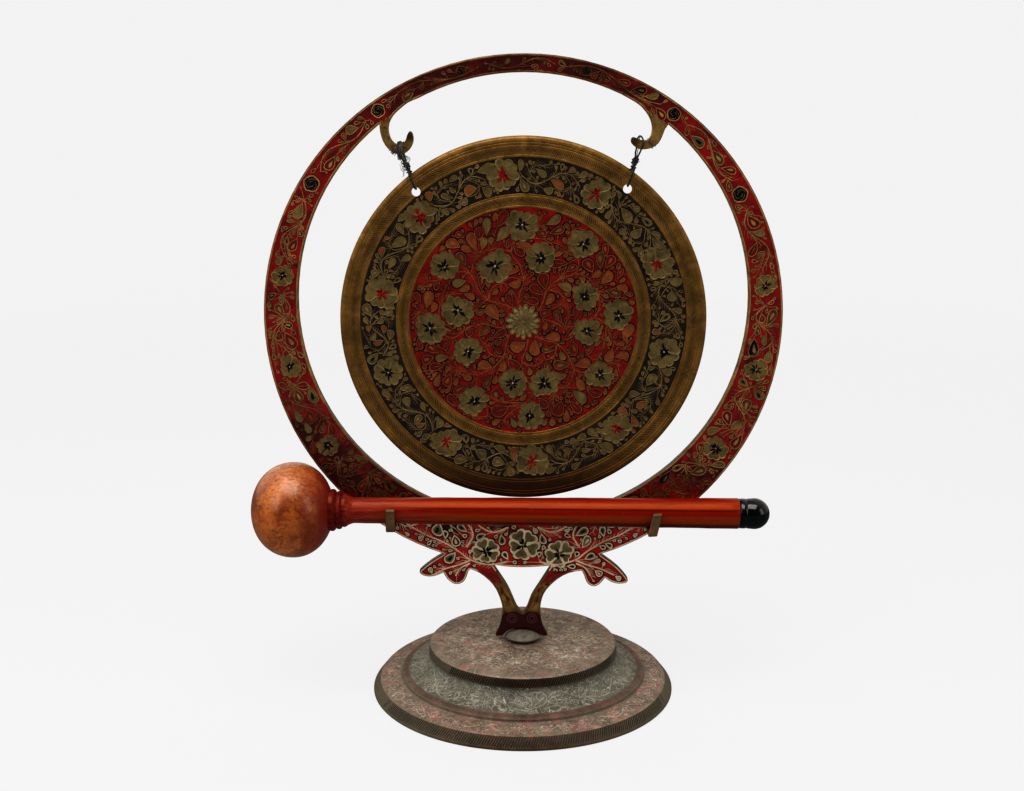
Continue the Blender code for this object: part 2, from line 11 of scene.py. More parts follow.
import bpy
import numpy as np
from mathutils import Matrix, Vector


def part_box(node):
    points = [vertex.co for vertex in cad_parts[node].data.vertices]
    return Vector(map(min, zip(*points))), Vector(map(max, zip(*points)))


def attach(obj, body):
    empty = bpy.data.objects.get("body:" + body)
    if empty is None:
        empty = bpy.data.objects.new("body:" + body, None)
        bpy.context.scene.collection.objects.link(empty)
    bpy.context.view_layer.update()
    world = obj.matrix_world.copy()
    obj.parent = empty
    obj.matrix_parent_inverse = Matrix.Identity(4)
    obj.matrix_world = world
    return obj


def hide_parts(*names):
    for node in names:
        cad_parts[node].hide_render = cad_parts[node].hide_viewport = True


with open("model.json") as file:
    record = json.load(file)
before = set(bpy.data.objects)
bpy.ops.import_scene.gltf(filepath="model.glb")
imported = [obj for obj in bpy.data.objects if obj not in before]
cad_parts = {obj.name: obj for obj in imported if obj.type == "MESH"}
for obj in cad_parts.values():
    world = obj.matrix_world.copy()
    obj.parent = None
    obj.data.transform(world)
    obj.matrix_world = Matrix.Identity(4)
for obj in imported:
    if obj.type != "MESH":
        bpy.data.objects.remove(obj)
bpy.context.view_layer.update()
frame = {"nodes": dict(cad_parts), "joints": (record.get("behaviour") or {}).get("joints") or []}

MM = 0.001
TAU = 2 * math.pi
rng = random.Random(11)


# ------------------------------------------------------------ frame places

def corners(node):
    """A CAD node's lowest and highest corners in millimetres."""
    low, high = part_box(node)
    return np.array(low) / MM, np.array(high) / MM


def centre(node):
    """The middle of a CAD node's box in millimetres."""
    low, high = corners(node)
    return (low + high) / 2


def joint(name):
    """A joint as the record gives it."""
    return next(j for j in frame["joints"] if j["name"] == name)


def joint_place(name):
    """A joint's place in millimetres."""
    return np.array(joint(name)["pos_m"]) / MM


def half_width(node):
    """Half of a CAD node's size along X in millimetres."""
    low, high = corners(node)
    return (high - low)[0] / 2


BASE_X = centre("base_shell")[0]
BASE_TOP = corners("base_shell")[1][2]
GONG = centre("gong_disc")
GONG_R = half_width("gong_disc")
GONG_FACE = corners("gong_disc")[0][1]
GONG_EDGE = corners("gong_disc")[1][1]
PLATE_FACE = corners("ring_frame")[0][1]
RING_TOP = corners("ring_frame")[1][2]
RING_R = half_width("ring_frame")
RING_Z = RING_TOP - RING_R


def front_loops(node):
    """Outlines of a plate's front face, the plate on the left of their way."""
    mesh = frame["nodes"][node].data
    face_y = min(v.co.y for v in mesh.vertices)
    keys = [(round(v.co.x * 1e6), round(v.co.z * 1e6)) for v in mesh.vertices]
    flat = [abs(v.co.y - face_y) < 1e-5 for v in mesh.vertices]
    edges = set()
    for poly in mesh.polygons:
        ids = list(poly.vertices)
        if all(flat[i] for i in ids):
            edges.update((keys[a], keys[b]) for a, b in zip(ids, ids[1:] + ids[:1]))
    following = {a: b for a, b in edges if (b, a) not in edges}
    loops = []
    while following:
        start, here = following.popitem()
        loop = [start]
        while here != start:
            loop.append(here)
            here = following.pop(here)
        loops.append(np.array(loop) * 1e-3)
    return sorted(loops, key=len)


# ---------------------------------------------------------- mesh and pieces

class Relief:
    """Closed solids in (u, v, height) that end up as one mesh piece, and the ground they take."""

    def __init__(self, place):
        self.place = place
        self.points, self.faces, self.slots = [], [], []
        self.count = 0
        self.taken = np.zeros((0, 3))
        self.vines = []

    def take(self, circles):
        """Keep the ground under some (u, v, radius) circles."""
        self.taken = np.vstack([self.taken, np.asarray(circles, float).reshape(-1, 3)])

    def free(self, circles, gap):
        """Whether circles keep a gap to all the ground taken."""
        circles = np.asarray(circles, float)
        reach = circles[:, 2].max() + gap + 8
        near = self.taken[(abs(self.taken[:, 0] - circles[0, 0]) < reach)
                          & (abs(self.taken[:, 1] - circles[0, 1]) < reach)]
        if not len(near):
            return True
        away = np.hypot(near[:, None, 0] - circles[None, :, 0],
                        near[:, None, 1] - circles[None, :, 1])
        return bool((away - near[:, None, 2] - circles[None, :, 2] > gap).all())

    def solid(self, rings, slots, closed=False, low=None, high=None):
        """A skin over equal rings, its ends drawn to a point or joined up."""
        rings = np.asarray(rings, float)
        m, n = rings.shape[:2]
        points = rings.reshape(-1, 3)
        i, k = np.meshgrid(np.arange(m if closed else m - 1), np.arange(n), indexing="ij")
        i, k = i.ravel(), k.ravel()
        ahead, up = (k + 1) % n, (i + 1) % m
        a, b, c, d = i * n + k, i * n + ahead, up * n + ahead, up * n + k
        faces = [np.stack([a, b, c], 1), np.stack([a, c, d], 1)]
        band = np.array([slots[0]] * len(i) if closed else [slots[1 + j] for j in i])
        marks = [band, band]
        if not closed:
            low = rings[0].mean(0) if low is None else low
            high = rings[-1].mean(0) if high is None else high
            points = np.vstack([points, low, high])
            k = np.arange(n)
            ahead = (k + 1) % n
            top = (m - 1) * n
            faces.append(np.stack([np.full(n, m * n), ahead, k], 1))
            faces.append(np.stack([np.full(n, m * n + 1), top + k, top + ahead], 1))
            marks += [np.full(n, slots[0]), np.full(n, slots[-1])]
        faces = np.concatenate(faces)
        points = self.place(points)
        p, q, r = (points[faces[:, j]] for j in range(3))
        if np.einsum("ij,ij->i", p, np.cross(q, r)).sum() < 0:
            faces = faces[:, ::-1]
        self.points.append(points)
        self.faces.append(faces + self.count)
        self.slots.append(np.concatenate(marks))
        self.count += len(points)

    def build(self, name, looks, body, slot, *nodes, smooth=35.0, recast=None):
        """The mesh piece, riding on its body."""
        points, faces = np.concatenate(self.points), np.concatenate(self.faces)
        slots = np.concatenate(self.slots)
        if recast:
            slots = recast(points[faces].mean(1), slots)
        return make_piece(name, points, faces.tolist(), slots, looks, body, nodes, smooth)


def make_piece(name, points, faces, marks, looks, body, nodes=(), smooth=35.0):
    """A mesh from points in millimetres, in the row frame, on its body."""
    mesh = bpy.data.meshes.new(name)
    mesh.from_pydata((np.asarray(points) * MM).tolist(), [], faces)
    mesh.polygons.foreach_set("material_index", np.asarray(marks, np.int32))
    for look in looks:
        mesh.materials.append(look)
    mesh.shade_smooth()
    mesh.set_sharp_from_angle(angle=math.radians(smooth))
    obj = bpy.data.objects.new(name, mesh)
    bpy.context.scene.collection.objects.link(obj)
    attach(obj, body)
    if nodes:
        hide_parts(*nodes)
    return obj


def lathe(profile, marks, steps, place, closed=False):
    """Points, faces and marks of an (r, z) profile spun round its axis."""
    profile = np.asarray(profile, float)
    turn = np.arange(steps) * TAU / steps
    r, z = profile[:, 0][None, :], profile[:, 1][None, :]
    grid = np.stack([r * np.cos(turn)[:, None], r * np.sin(turn)[:, None],
                     np.repeat(z, steps, 0)], -1)
    count = len(profile)
    points, index = [], np.zeros((steps, count), int)
    for k in range(count):
        if profile[k, 0] < 1e-6:
            index[:, k] = len(points)
            points.append(grid[0, k])
        else:
            index[:, k] = len(points) + np.arange(steps)
            points.extend(grid[:, k])
    faces, slots = [], []
    for k in range(count if closed else count - 1):
        j = (k + 1) % count
        for s in range(steps):
            t = (s + 1) % steps
            corner = (index[s, k], index[t, k], index[t, j], index[s, j])
            face = list(dict.fromkeys(int(c) for c in corner))
            faces.append(face)
            slots.append(marks[k])
    points = place(np.array(points))
    volume = 0.0
    for face in faces[::max(1, len(faces) // 4000)]:
        p, q, s = (points[face[i]] for i in range(3))
        volume += float(np.dot(p - points.mean(0), np.cross(q - p, s - p)))
    if volume < 0:
        faces = [face[::-1] for face in faces]
    return points, faces, slots


def smooth_line(points, steps, closed=False):
    """A Catmull-Rom curve through points of any dimension."""
    p = np.asarray(points, float)
    count = len(p)
    out = []
    for i in range(count if closed else count - 1):
        if closed:
            a, b, c, d = (p[(i + k - 1) % count] for k in range(4))
        else:
            b, c = p[i], p[i + 1]
            a = p[i - 1] if i else 2 * b - c
            d = p[i + 2] if i + 2 < count else 2 * c - b
        for t in np.arange(steps) / steps:
            out.append(0.5 * (2 * b + (c - a) * t + (2 * a - 5 * b + 4 * c - d) * t ** 2
                              + (3 * b - a - 3 * c + d) * t ** 3))
    if not closed:
        out.append(p[-1])
    return np.array(out)


def turned(points, u, v, angle):
    """Flat points turned by an angle and moved."""
    c, s = math.cos(angle), math.sin(angle)
    x, y = np.asarray(points, float).T
    return np.stack([u + x * c - y * s, v + x * s + y * c], 1)


def at_height(points, h):
    """Flat points raised to a height."""
    return np.column_stack([points, np.full(len(points), h)])


# --------------------------------------------------------------- ornaments

BURIED = -0.08  # how deep ornament starts below its ground
RIM, FILL, DARK, PALE, ALT = range(5)  # the material slots all flowers share
PETAL = np.array([(0.06, 0.0), (0.20, -0.15), (0.42, -0.37), (0.66, -0.54), (0.86, -0.53),
                  (0.99, -0.36), (0.99, -0.16), (0.88, 0.0), (0.99, 0.16), (0.99, 0.36),
                  (0.86, 0.53), (0.66, 0.54), (0.42, 0.37), (0.20, 0.15)])
THIN_PETAL = np.array([(0.12, 0.0), (0.3, -0.07), (0.6, -0.15), (0.85, -0.14), (0.98, -0.07),
                       (1.0, 0.0), (0.98, 0.07), (0.85, 0.14), (0.6, 0.15), (0.3, 0.07)])


def ribbon(relief, path, width, height, slot, closed=False, base=BURIED):
    """A half-round ridge along a flat path, as wide as width says."""
    path = np.asarray(path, float)
    if closed:
        way = np.roll(path, -1, 0) - np.roll(path, 1, 0)
    else:
        way = np.gradient(path, axis=0)
    way /= np.maximum(np.linalg.norm(way, axis=1), 1e-9)[:, None]
    side = np.stack([-way[:, 1], way[:, 0]], 1) * np.broadcast_to(width, len(path))[:, None]
    tops = np.broadcast_to(height, len(path))
    rings = [[(*(p - s / 2), base), (*(p - s * 0.27), h), (*(p + s * 0.27), h), (*(p + s / 2), base)]
             for p, s, h in zip(path, side, tops)]
    relief.solid(rings, [slot] * (len(path) + 1), closed)


def teardrop(length, width, steps=12):
    """A drop's outline, its point at the origin."""
    t = np.arange(steps) * TAU / steps
    along = length * (0.5 - 0.5 * np.cos(t))
    across = -width * 0.677 * np.sin(t) * np.sin(t / 2) ** 1.2
    return np.stack([along, across], 1)


def drop(relief, u, v, angle, length, width, fill=FILL, bend=0.0, rim=0.42, height=0.22,
         core=None, edge=RIM, shade=None):
    """A bud or leaf: a raised rim round a sunk, domed filling, maybe outlined dark."""
    if shade is not None:
        outline = teardrop(length + 1.1, width + 0.7) - (0.5, 0.0)
        outline[:, 1] += bend * (outline[:, 0] / length) ** 2
        outline = turned(outline, u, v, angle)
        relief.solid([at_height(outline, BURIED), at_height(outline, 0.04)], [shade] * 3)
    rim = min(rim, width * 0.24)
    rings = []
    for inset, h in ((0.0, BURIED), (0.05, height), (rim, height), (rim + 0.07, height * 0.4)):
        outline = teardrop(length - inset * 2.7, width - inset * 2)
        outline[:, 0] += inset * 1.7
        outline[:, 1] += bend * (outline[:, 0] / length) ** 2
        rings.append(at_height(turned(outline, u, v, angle), h))
    heart = turned([(length * 0.62, bend * 0.38)], u, v, angle)[0]
    relief.solid(rings, [edge] * 4 + [fill], high=(*heart, height * 0.62))
    if core is not None:
        start = turned([(length * 0.34, bend * 0.12)], u, v, angle)[0]
        outline = turned(teardrop(length * 0.45, width * 0.3, 8), *start, angle)
        relief.solid([at_height(outline, BURIED), at_height(outline, height * 0.8)], [core] * 3)
    elif length > 3.0:
        ends = turned([(length * 0.2, 0.0), (length * 0.8, bend * 0.64)], u, v, angle)
        stroke(relief, *ends, 0.26, height * 0.85, edge, 0.4)


def petals(relief, u, v, size, angle, shares, outline, fill, middle, height=0.22, shade=None):
    """A ring of rimmed petals round a point, one for each share of the size."""
    count = len(shares)
    for k, share in enumerate(shares):
        scale = size * share
        way = angle + TAU * k / count + rng.uniform(-0.05, 0.05)
        if shade is not None:
            wide = turned(outline * (scale + 0.5), u, v, way)
            relief.solid([at_height(wide, BURIED), at_height(wide, 0.04)], [shade] * 3)
        rings = []
        top = height + 0.025 * (k % 3)
        for part, h in ((1.0, BURIED), (0.985, top), (middle, top), (middle - 0.05, top * 0.45)):
            shrunk = (outline - (0.62, 0.0)) * part + (0.62, 0.0)
            rings.append(at_height(turned(shrunk * scale, u, v, way), h))
        heart = turned([(0.66 * scale, 0.0)], u, v, way)[0]
        relief.solid(rings, [RIM, RIM, RIM, RIM, fill], high=(*heart, top * 0.66))


def stroke(relief, a, b, width, height, slot, middle=0.5):
    """A straight tapered line of inlay from a to b."""
    a, b = np.asarray(a, float), np.asarray(b, float)
    way = b - a
    side = np.array([-way[1], way[0]]) / max(np.linalg.norm(way), 1e-9) * width / 2
    m = a + way * middle
    outline = np.array([a, m - side, b, m + side])
    relief.solid([at_height(outline, BURIED), at_height(outline, height)], [slot] * 3)


def dome(relief, u, v, radius, height, slot, sides=8):
    """A small raised boss."""
    turn = np.arange(sides) * TAU / sides
    ring = np.stack([np.cos(turn), np.sin(turn)], 1)
    rings = [at_height(ring * radius * s + (u, v), h)
             for s, h in ((1.0, BURIED), (0.95, height * 0.7), (0.6, height * 0.95))]
    relief.solid(rings, [slot] * 4, high=(u, v, height))


def pansy(relief, u, v, size, angle, fill=FILL, mark=DARK, heart=PALE, rim=0.86, bold=False):
    """Five uneven two-lobed petals round a black blotch with a small pale eye."""
    shares = [rng.uniform(0.94, 1.06) for _ in range(5)]
    shares[rng.randrange(5)] *= 0.84
    petals(relief, u, v, size, angle, shares, PETAL, fill, rim, shade=DARK if bold else None)
    for k, share in enumerate(shares):
        way = angle + TAU * k / 5
        for swing in (-0.3, 0.0, 0.3) if bold else (-0.42, -0.22, 0.0, 0.22, 0.42):
            ends = turned([(0.50 * size, 0), (0.76 * size * share, 0)], u, v, way + swing)
            stroke(relief, *ends, 0.24 if bold else 0.2, 0.2, mark if bold else RIM)
    count = rng.choice((6, 7, 8))
    for k in range(count):
        way = angle + TAU * (k + rng.uniform(-0.25, 0.25)) / count
        ends = turned([(0.02 * size, 0), (size * rng.uniform(0.28, 0.62), 0)], u, v, way)
        stroke(relief, *ends, size * rng.uniform(0.13, 0.24), 0.27, mark, rng.uniform(0.4, 0.65))
    dome(relief, u, v, 0.085 * size, 0.3, heart, 6)


def rose(relief, u, v, size, angle, fill=DARK):
    """A small cabbage rose: a rimmed disc wound with curved ridges."""
    turn = np.arange(14) * TAU / 14
    wave = 1 + 0.06 * np.cos(5 * turn)
    outline = np.stack([np.cos(turn) * wave, np.sin(turn) * wave], 1) * size
    rings = [at_height(turned(outline * s, u, v, angle), h)
             for s, h in ((1.0, BURIED), (0.98, 0.2), (0.86, 0.2), (0.82, 0.08))]
    relief.solid(rings, [RIM, RIM, RIM, RIM, fill], high=(u, v, 0.12))
    for reach, start in ((0.62, 0.0), (0.62, 2.2), (0.6, 4.3), (0.32, 1.2), (0.3, 4.4)):
        a = np.linspace(start, start + 1.9, 7)
        arc = np.stack([np.cos(a), np.sin(a)], 1) * (reach * size * np.linspace(1.1, 0.8, 7))[:, None]
        ribbon(relief, turned(arc, u, v, angle), 0.3 * np.sin(np.linspace(0.5, 2.6, 7)), 0.2, RIM)


def spiral(u, v, start, end, turns, angle, points=18):
    """A flat spiral from its outside in."""
    t = np.linspace(0, 1, points)
    a = angle + turns * TAU * t
    r = start + (end - start) * t
    return np.stack([u + r * np.cos(a), v + r * np.sin(a)], 1)


def flower(relief, kind, place, size, angle, **how):
    """One flower of a kind, and the ground it takes."""
    u, v = place
    kind(relief, u, v, size, angle, **how)
    relief.take([(u, v, size * 0.95)])


def vine(relief, path, width=0.75, height=0.17, slot=RIM):
    """A stem that leaves spring from; it keeps the ground under it."""
    path = np.asarray(path, float)
    taper = width * np.linspace(1.0, 0.7, len(path))
    ribbon(relief, path, taper, height, slot)
    relief.take(np.column_stack([path, taper * 0.5]))
    way = np.gradient(path, axis=0)
    way /= np.maximum(np.linalg.norm(way, axis=1), 1e-9)[:, None]
    relief.vines.append(np.column_stack([path, way, np.full(len(path), len(relief.vines))]))


def sprout(relief, spots, sizes, fills, within, gap=0.3, reach=11.0, stalk=RIM,
           lean=0.8, plump=(0.5, 0.72), rim=0.42, shade=None):
    """Leaves and buds wherever they fit, each on a stalk from the nearest vine."""
    roots = np.vstack(relief.vines)
    start = 0
    for length, tries in sizes:
        for u, v in spots[start:start + tries]:
            away = np.array([u, v]) - roots[:, :2]
            far = np.hypot(*away.T)
            i = int(far.argmin())
            lead = away[i] + roots[i, 2:4] * far[i] * lean
            angle = math.atan2(lead[1], lead[0]) + rng.uniform(-0.5, 0.5)
            size = length * rng.uniform(0.85, 1.15)
            width = size * rng.uniform(*plump)
            c, s = math.cos(angle), math.sin(angle)
            circles = [(u + c * size * t, v + s * size * t, width * w)
                       for t, w in ((0.16, 0.14), (0.38, 0.32), (0.62, 0.46), (0.84, 0.3))]
            if not relief.free(circles, gap) or not within(circles):
                continue
            relief.take(circles)
            fill, core = rng.choice(fills)
            drop(relief, u, v, angle, size, width, fill, rng.uniform(-0.16, 0.16) * size,
                 rim=rim, core=core if size > 2.6 else None, edge=stalk, shade=shade)
            if 0.6 < far[i] < reach:
                first = int(np.argmax(roots[:, 4] == roots[i, 4]))
                back = first + max(0, i - first - int(far[i] * 0.4)) // 5 * 5
                root = roots[back, :2]
                bow = (root + (u, v)) / 2 + roots[back, 2:4] * far[i] * 0.28
                t = np.linspace(0, 1, 7)[:, None]
                path = root * (1 - t) ** 2 + 2 * bow * t * (1 - t) + np.array([u, v]) * t ** 2
                ribbon(relief, path, 0.34, 0.11, stalk)
        start += tries


def combs(relief, count, within, reach=3.4, slot=RIM):
    """Sprays of fine curved lines springing from one side of the vines."""
    roots = np.vstack(relief.vines)
    for _ in range(count):
        i, side = rng.randrange(len(roots) - 6), rng.choice((-1, 1))
        for k in range(5):
            u, v, a, b, stem = roots[i + k]
            if stem != roots[i, 4]:
                break
            angle = math.atan2(b, a) + side * (0.7 + 0.1 * k)
            length = reach * (1 - 0.12 * k)
            t = np.linspace(0.1, 1, 6)
            path = turned(np.stack([length * t, -side * 0.2 * length * t ** 2], 1), u, v, angle)
            circles = [(x, y, 0.12) for x, y in path[2:]]
            if relief.free(circles, 0.1) and within(circles):
                ribbon(relief, path, 0.26 * np.linspace(1.2, 0.6, 6), 0.12, slot)
                relief.take(circles)


# --------------------------------------------------------------- materials

MIX_A, MIX_B, MIX_OUT = 6, 7, 2  # the Mix node's colour sockets


class Look:
    """A procedural material; textures use row frame coordinates in metres."""

    def __init__(self, name, metallic=0.0, coat=0.0, coat_roughness=0.15):
        self.mat = bpy.data.materials.new(name)
        self.mat.use_nodes = True
        self.tree = self.mat.node_tree
        self.shader = self.tree.nodes["Principled BSDF"]
        self.shader.inputs["Metallic"].default_value = metallic
        self.shader.inputs["Coat Weight"].default_value = coat
        self.shader.inputs["Coat Roughness"].default_value = coat_roughness
        self.shader.inputs["Specular IOR Level"].default_value = 0.3
        self.place = self.node("ShaderNodeTexCoord").outputs["Object"]
        self.heights = []

    def node(self, kind, **settings):
        """A new node with its settings."""
        node = self.tree.nodes.new(kind)
        for key, value in settings.items():
            setattr(node, key, value)
        return node

    def feed(self, socket, value):
        """Link an output to a socket, or set its value."""
        if isinstance(value, bpy.types.NodeSocket):
            self.tree.links.new(value, socket)
        elif isinstance(value, tuple) and len(value) == 3 and socket.type == "RGBA":
            socket.default_value = (*value, 1.0)
        else:
            socket.default_value = value

    def stretched(self, scale):
        """Texture place with each axis scaled."""
        mapping = self.node("ShaderNodeMapping")
        self.feed(mapping.inputs["Vector"], self.place)
        mapping.inputs["Scale"].default_value = scale
        return mapping.outputs["Vector"]

    def noise(self, size, detail=4.0, rough=0.6, stretch=(1, 1, 1), twist=0.0):
        """Noise whose features are about size millimetres across."""
        node = self.node("ShaderNodeTexNoise")
        self.feed(node.inputs["Vector"], self.stretched(stretch))
        node.inputs["Scale"].default_value = 1000.0 / size
        node.inputs["Detail"].default_value = detail
        node.inputs["Roughness"].default_value = rough
        node.inputs["Distortion"].default_value = twist
        return node.outputs["Fac"]

    def ramp(self, value, low, high, start=0.0, end=1.0):
        """A value moved from the span low..high to start..end, clamped."""
        node = self.node("ShaderNodeMapRange")
        self.feed(node.inputs["Value"], value)
        for key, number in zip(("From Min", "From Max", "To Min", "To Max"),
                               (low, high, start, end)):
            node.inputs[key].default_value = number
        return node.outputs["Result"]

    def bands(self, value, stops):
        """A colour picked along a 0..1 value from (place, colour) stops."""
        node = self.node("ShaderNodeValToRGB")
        self.feed(node.inputs["Fac"], value)
        row = node.color_ramp.elements
        while len(row) < len(stops):
            row.new(1.0)
        for element, (place, colour) in zip(row, stops):
            element.position = place
            element.color = (*colour, 1.0)
        return node.outputs["Color"]

    def calc(self, operation, a, b=0.0):
        """A sum on one or two values."""
        node = self.node("ShaderNodeMath", operation=operation)
        self.feed(node.inputs[0], a)
        self.feed(node.inputs[1], b)
        return node.outputs[0]

    def times(self, a, b):
        """Two values multiplied: both masks at once."""
        return self.calc("MULTIPLY", a, b)

    def plus(self, a, b):
        """Two values added."""
        return self.calc("ADD", a, b)

    def either(self, a, b):
        """The greater of two masks."""
        return self.calc("MAXIMUM", a, b)

    def mix(self, factor, a, b):
        """Colour a where the factor is 0, colour b where it is 1."""
        node = self.node("ShaderNodeMix", data_type="RGBA")
        self.feed(node.inputs["Factor"], factor)
        self.feed(node.inputs[MIX_A], a)
        self.feed(node.inputs[MIX_B], b)
        return node.outputs[MIX_OUT]

    def axis(self, name):
        """One coordinate in metres."""
        node = self.node("ShaderNodeSeparateXYZ")
        self.feed(node.inputs[0], self.place)
        return node.outputs[name]

    def distance(self, x, z, y=None):
        """Distance in metres from a line through (x, z), or (x, y) when z is None."""
        shift = self.node("ShaderNodeVectorMath", operation="SUBTRACT")
        self.feed(shift.inputs[0], self.place)
        shift.inputs[1].default_value = (x * MM, 0.0 if y is None else y * MM,
                                         0.0 if z is None else z * MM)
        flat = self.node("ShaderNodeVectorMath", operation="MULTIPLY")
        self.feed(flat.inputs[0], shift.outputs[0])
        flat.inputs[1].default_value = (1, 0, 1) if y is None else (1, 1, 0)
        length = self.node("ShaderNodeVectorMath", operation="LENGTH")
        self.feed(length.inputs[0], flat.outputs[0])
        return length.outputs["Value"]

    def facing(self, name):
        """One component of the surface's true normal at rest."""
        node = self.node("ShaderNodeSeparateXYZ")
        self.feed(node.inputs[0], self.node("ShaderNodeTexCoord").outputs["Normal"])
        return node.outputs[name]

    def bump(self, height, depth, strength=1.0):
        """Add surface unevenness depth millimetres deep."""
        self.heights.append((height, depth, strength))

    def done(self, colour, roughness, metallic=None):
        """The material, with its colour, finish and stacked bumps."""
        self.feed(self.shader.inputs["Base Color"], colour)
        self.feed(self.shader.inputs["Roughness"], roughness)
        if metallic is not None:
            self.feed(self.shader.inputs["Metallic"], metallic)
        normal = None
        for height, depth, strength in self.heights:
            node = self.node("ShaderNodeBump")
            node.inputs["Distance"].default_value = depth * MM
            node.inputs["Strength"].default_value = strength
            self.feed(node.inputs["Height"], height)
            if normal is not None:
                self.feed(node.inputs["Normal"], normal)
            normal = node.outputs["Normal"]
        if normal is not None:
            self.feed(self.shader.inputs["Normal"], normal)
        return self.mat


RED = (0.31, 0.006, 0.005)
RED_DEEP = (0.13, 0.004, 0.005)
VIVID_RED = (0.52, 0.012, 0.008)
MAROON = (0.040, 0.006, 0.006)
TAN = (0.42, 0.31, 0.16)
BRASS_LIGHT = (0.46, 0.31, 0.11)
BRASS_DARK = (0.20, 0.12, 0.04)
# Dark brass colour, used both for real dirt and for painted shade.
BRASS_DIRT_AND_SHADE = (0.035, 0.022, 0.012)
LOW_SHADE = (0.055, 0.022, 0.010)
LEFT_TIP, RIGHT_TIP = (-50.6, 268.0), (48.6, 263.6)  # the hooks' ends, from the base's middle


def metal_look(name, light, dark, dirt, rough=(0.32, 0.6), grime=0.5, grain=(1, 1, 1), metallic=0.9,
               dim_below=0.0):
    """Aged metal: blotchy tarnish, dirt in patches, fine scratches, and painted shade that makes it dimmer
    low down.
    """
    look = Look(name)
    blotch = look.noise(9, 6, 0.65, twist=0.6)
    fine = look.noise(1.1, 5, 0.7, grain)
    scratch = look.noise(0.5, 3, 0.8, (0.08, 1, 1.1), 0.4)
    tone = look.mix(look.ramp(blotch, 0.38, 0.66), dark, light)
    tone = look.mix(look.ramp(fine, 0.5, 0.72, 0.0, 0.55), tone, dark)
    soil = look.ramp(look.noise(5, 8, 0.75), 0.6 - grime * 0.15, 0.72, 0.0, 0.85)
    tone = look.mix(soil, tone, dirt)
    tone = look.mix(look.ramp(scratch, 0.7, 0.78, 0.0, 0.3), tone, light)
    # Painted shade: darker below the height dim_below, in metres.
    if dim_below:
        foot = look.ramp(look.axis("Z"), dim_below, dim_below - 0.020, 0.0, 0.85)
        tone = look.mix(foot, tone, LOW_SHADE)
    look.bump(fine, 0.05, 0.6)
    look.bump(scratch, 0.02, 0.5)
    shine = look.ramp(look.noise(3, 6, 0.7), 0.3, 0.75, *rough)
    return look.done(tone, shine, look.ramp(soil, 0.0, 0.9, metallic, metallic * 0.35))


def enamel_look(name, base, deep, flecks, rough=(0.22, 0.5), fleck_amount=0.12, coat=0.15):
    """Old enamel or lacquer: uneven depth, chips and rubbed flecks."""
    look = Look(name, coat=coat, coat_roughness=0.25)
    cloud = look.noise(7, 6, 0.65, twist=0.8)
    grain = look.noise(0.6, 4, 0.7)
    tone = look.mix(look.ramp(cloud, 0.36, 0.68), deep, base)
    tone = look.mix(look.ramp(grain, 0.45, 0.75, 0.0, 0.4), tone, deep)
    chip = look.ramp(look.noise(0.9, 6, 0.8, twist=1.2), 0.70 - fleck_amount * 0.3, 0.74)
    tone = look.mix(look.times(chip, 0.7), tone, flecks)
    look.bump(grain, 0.04, 0.5)
    look.bump(chip, -0.04, 0.6)
    return look.done(tone, look.ramp(look.noise(2.2, 5, 0.7), 0.3, 0.75, *rough))


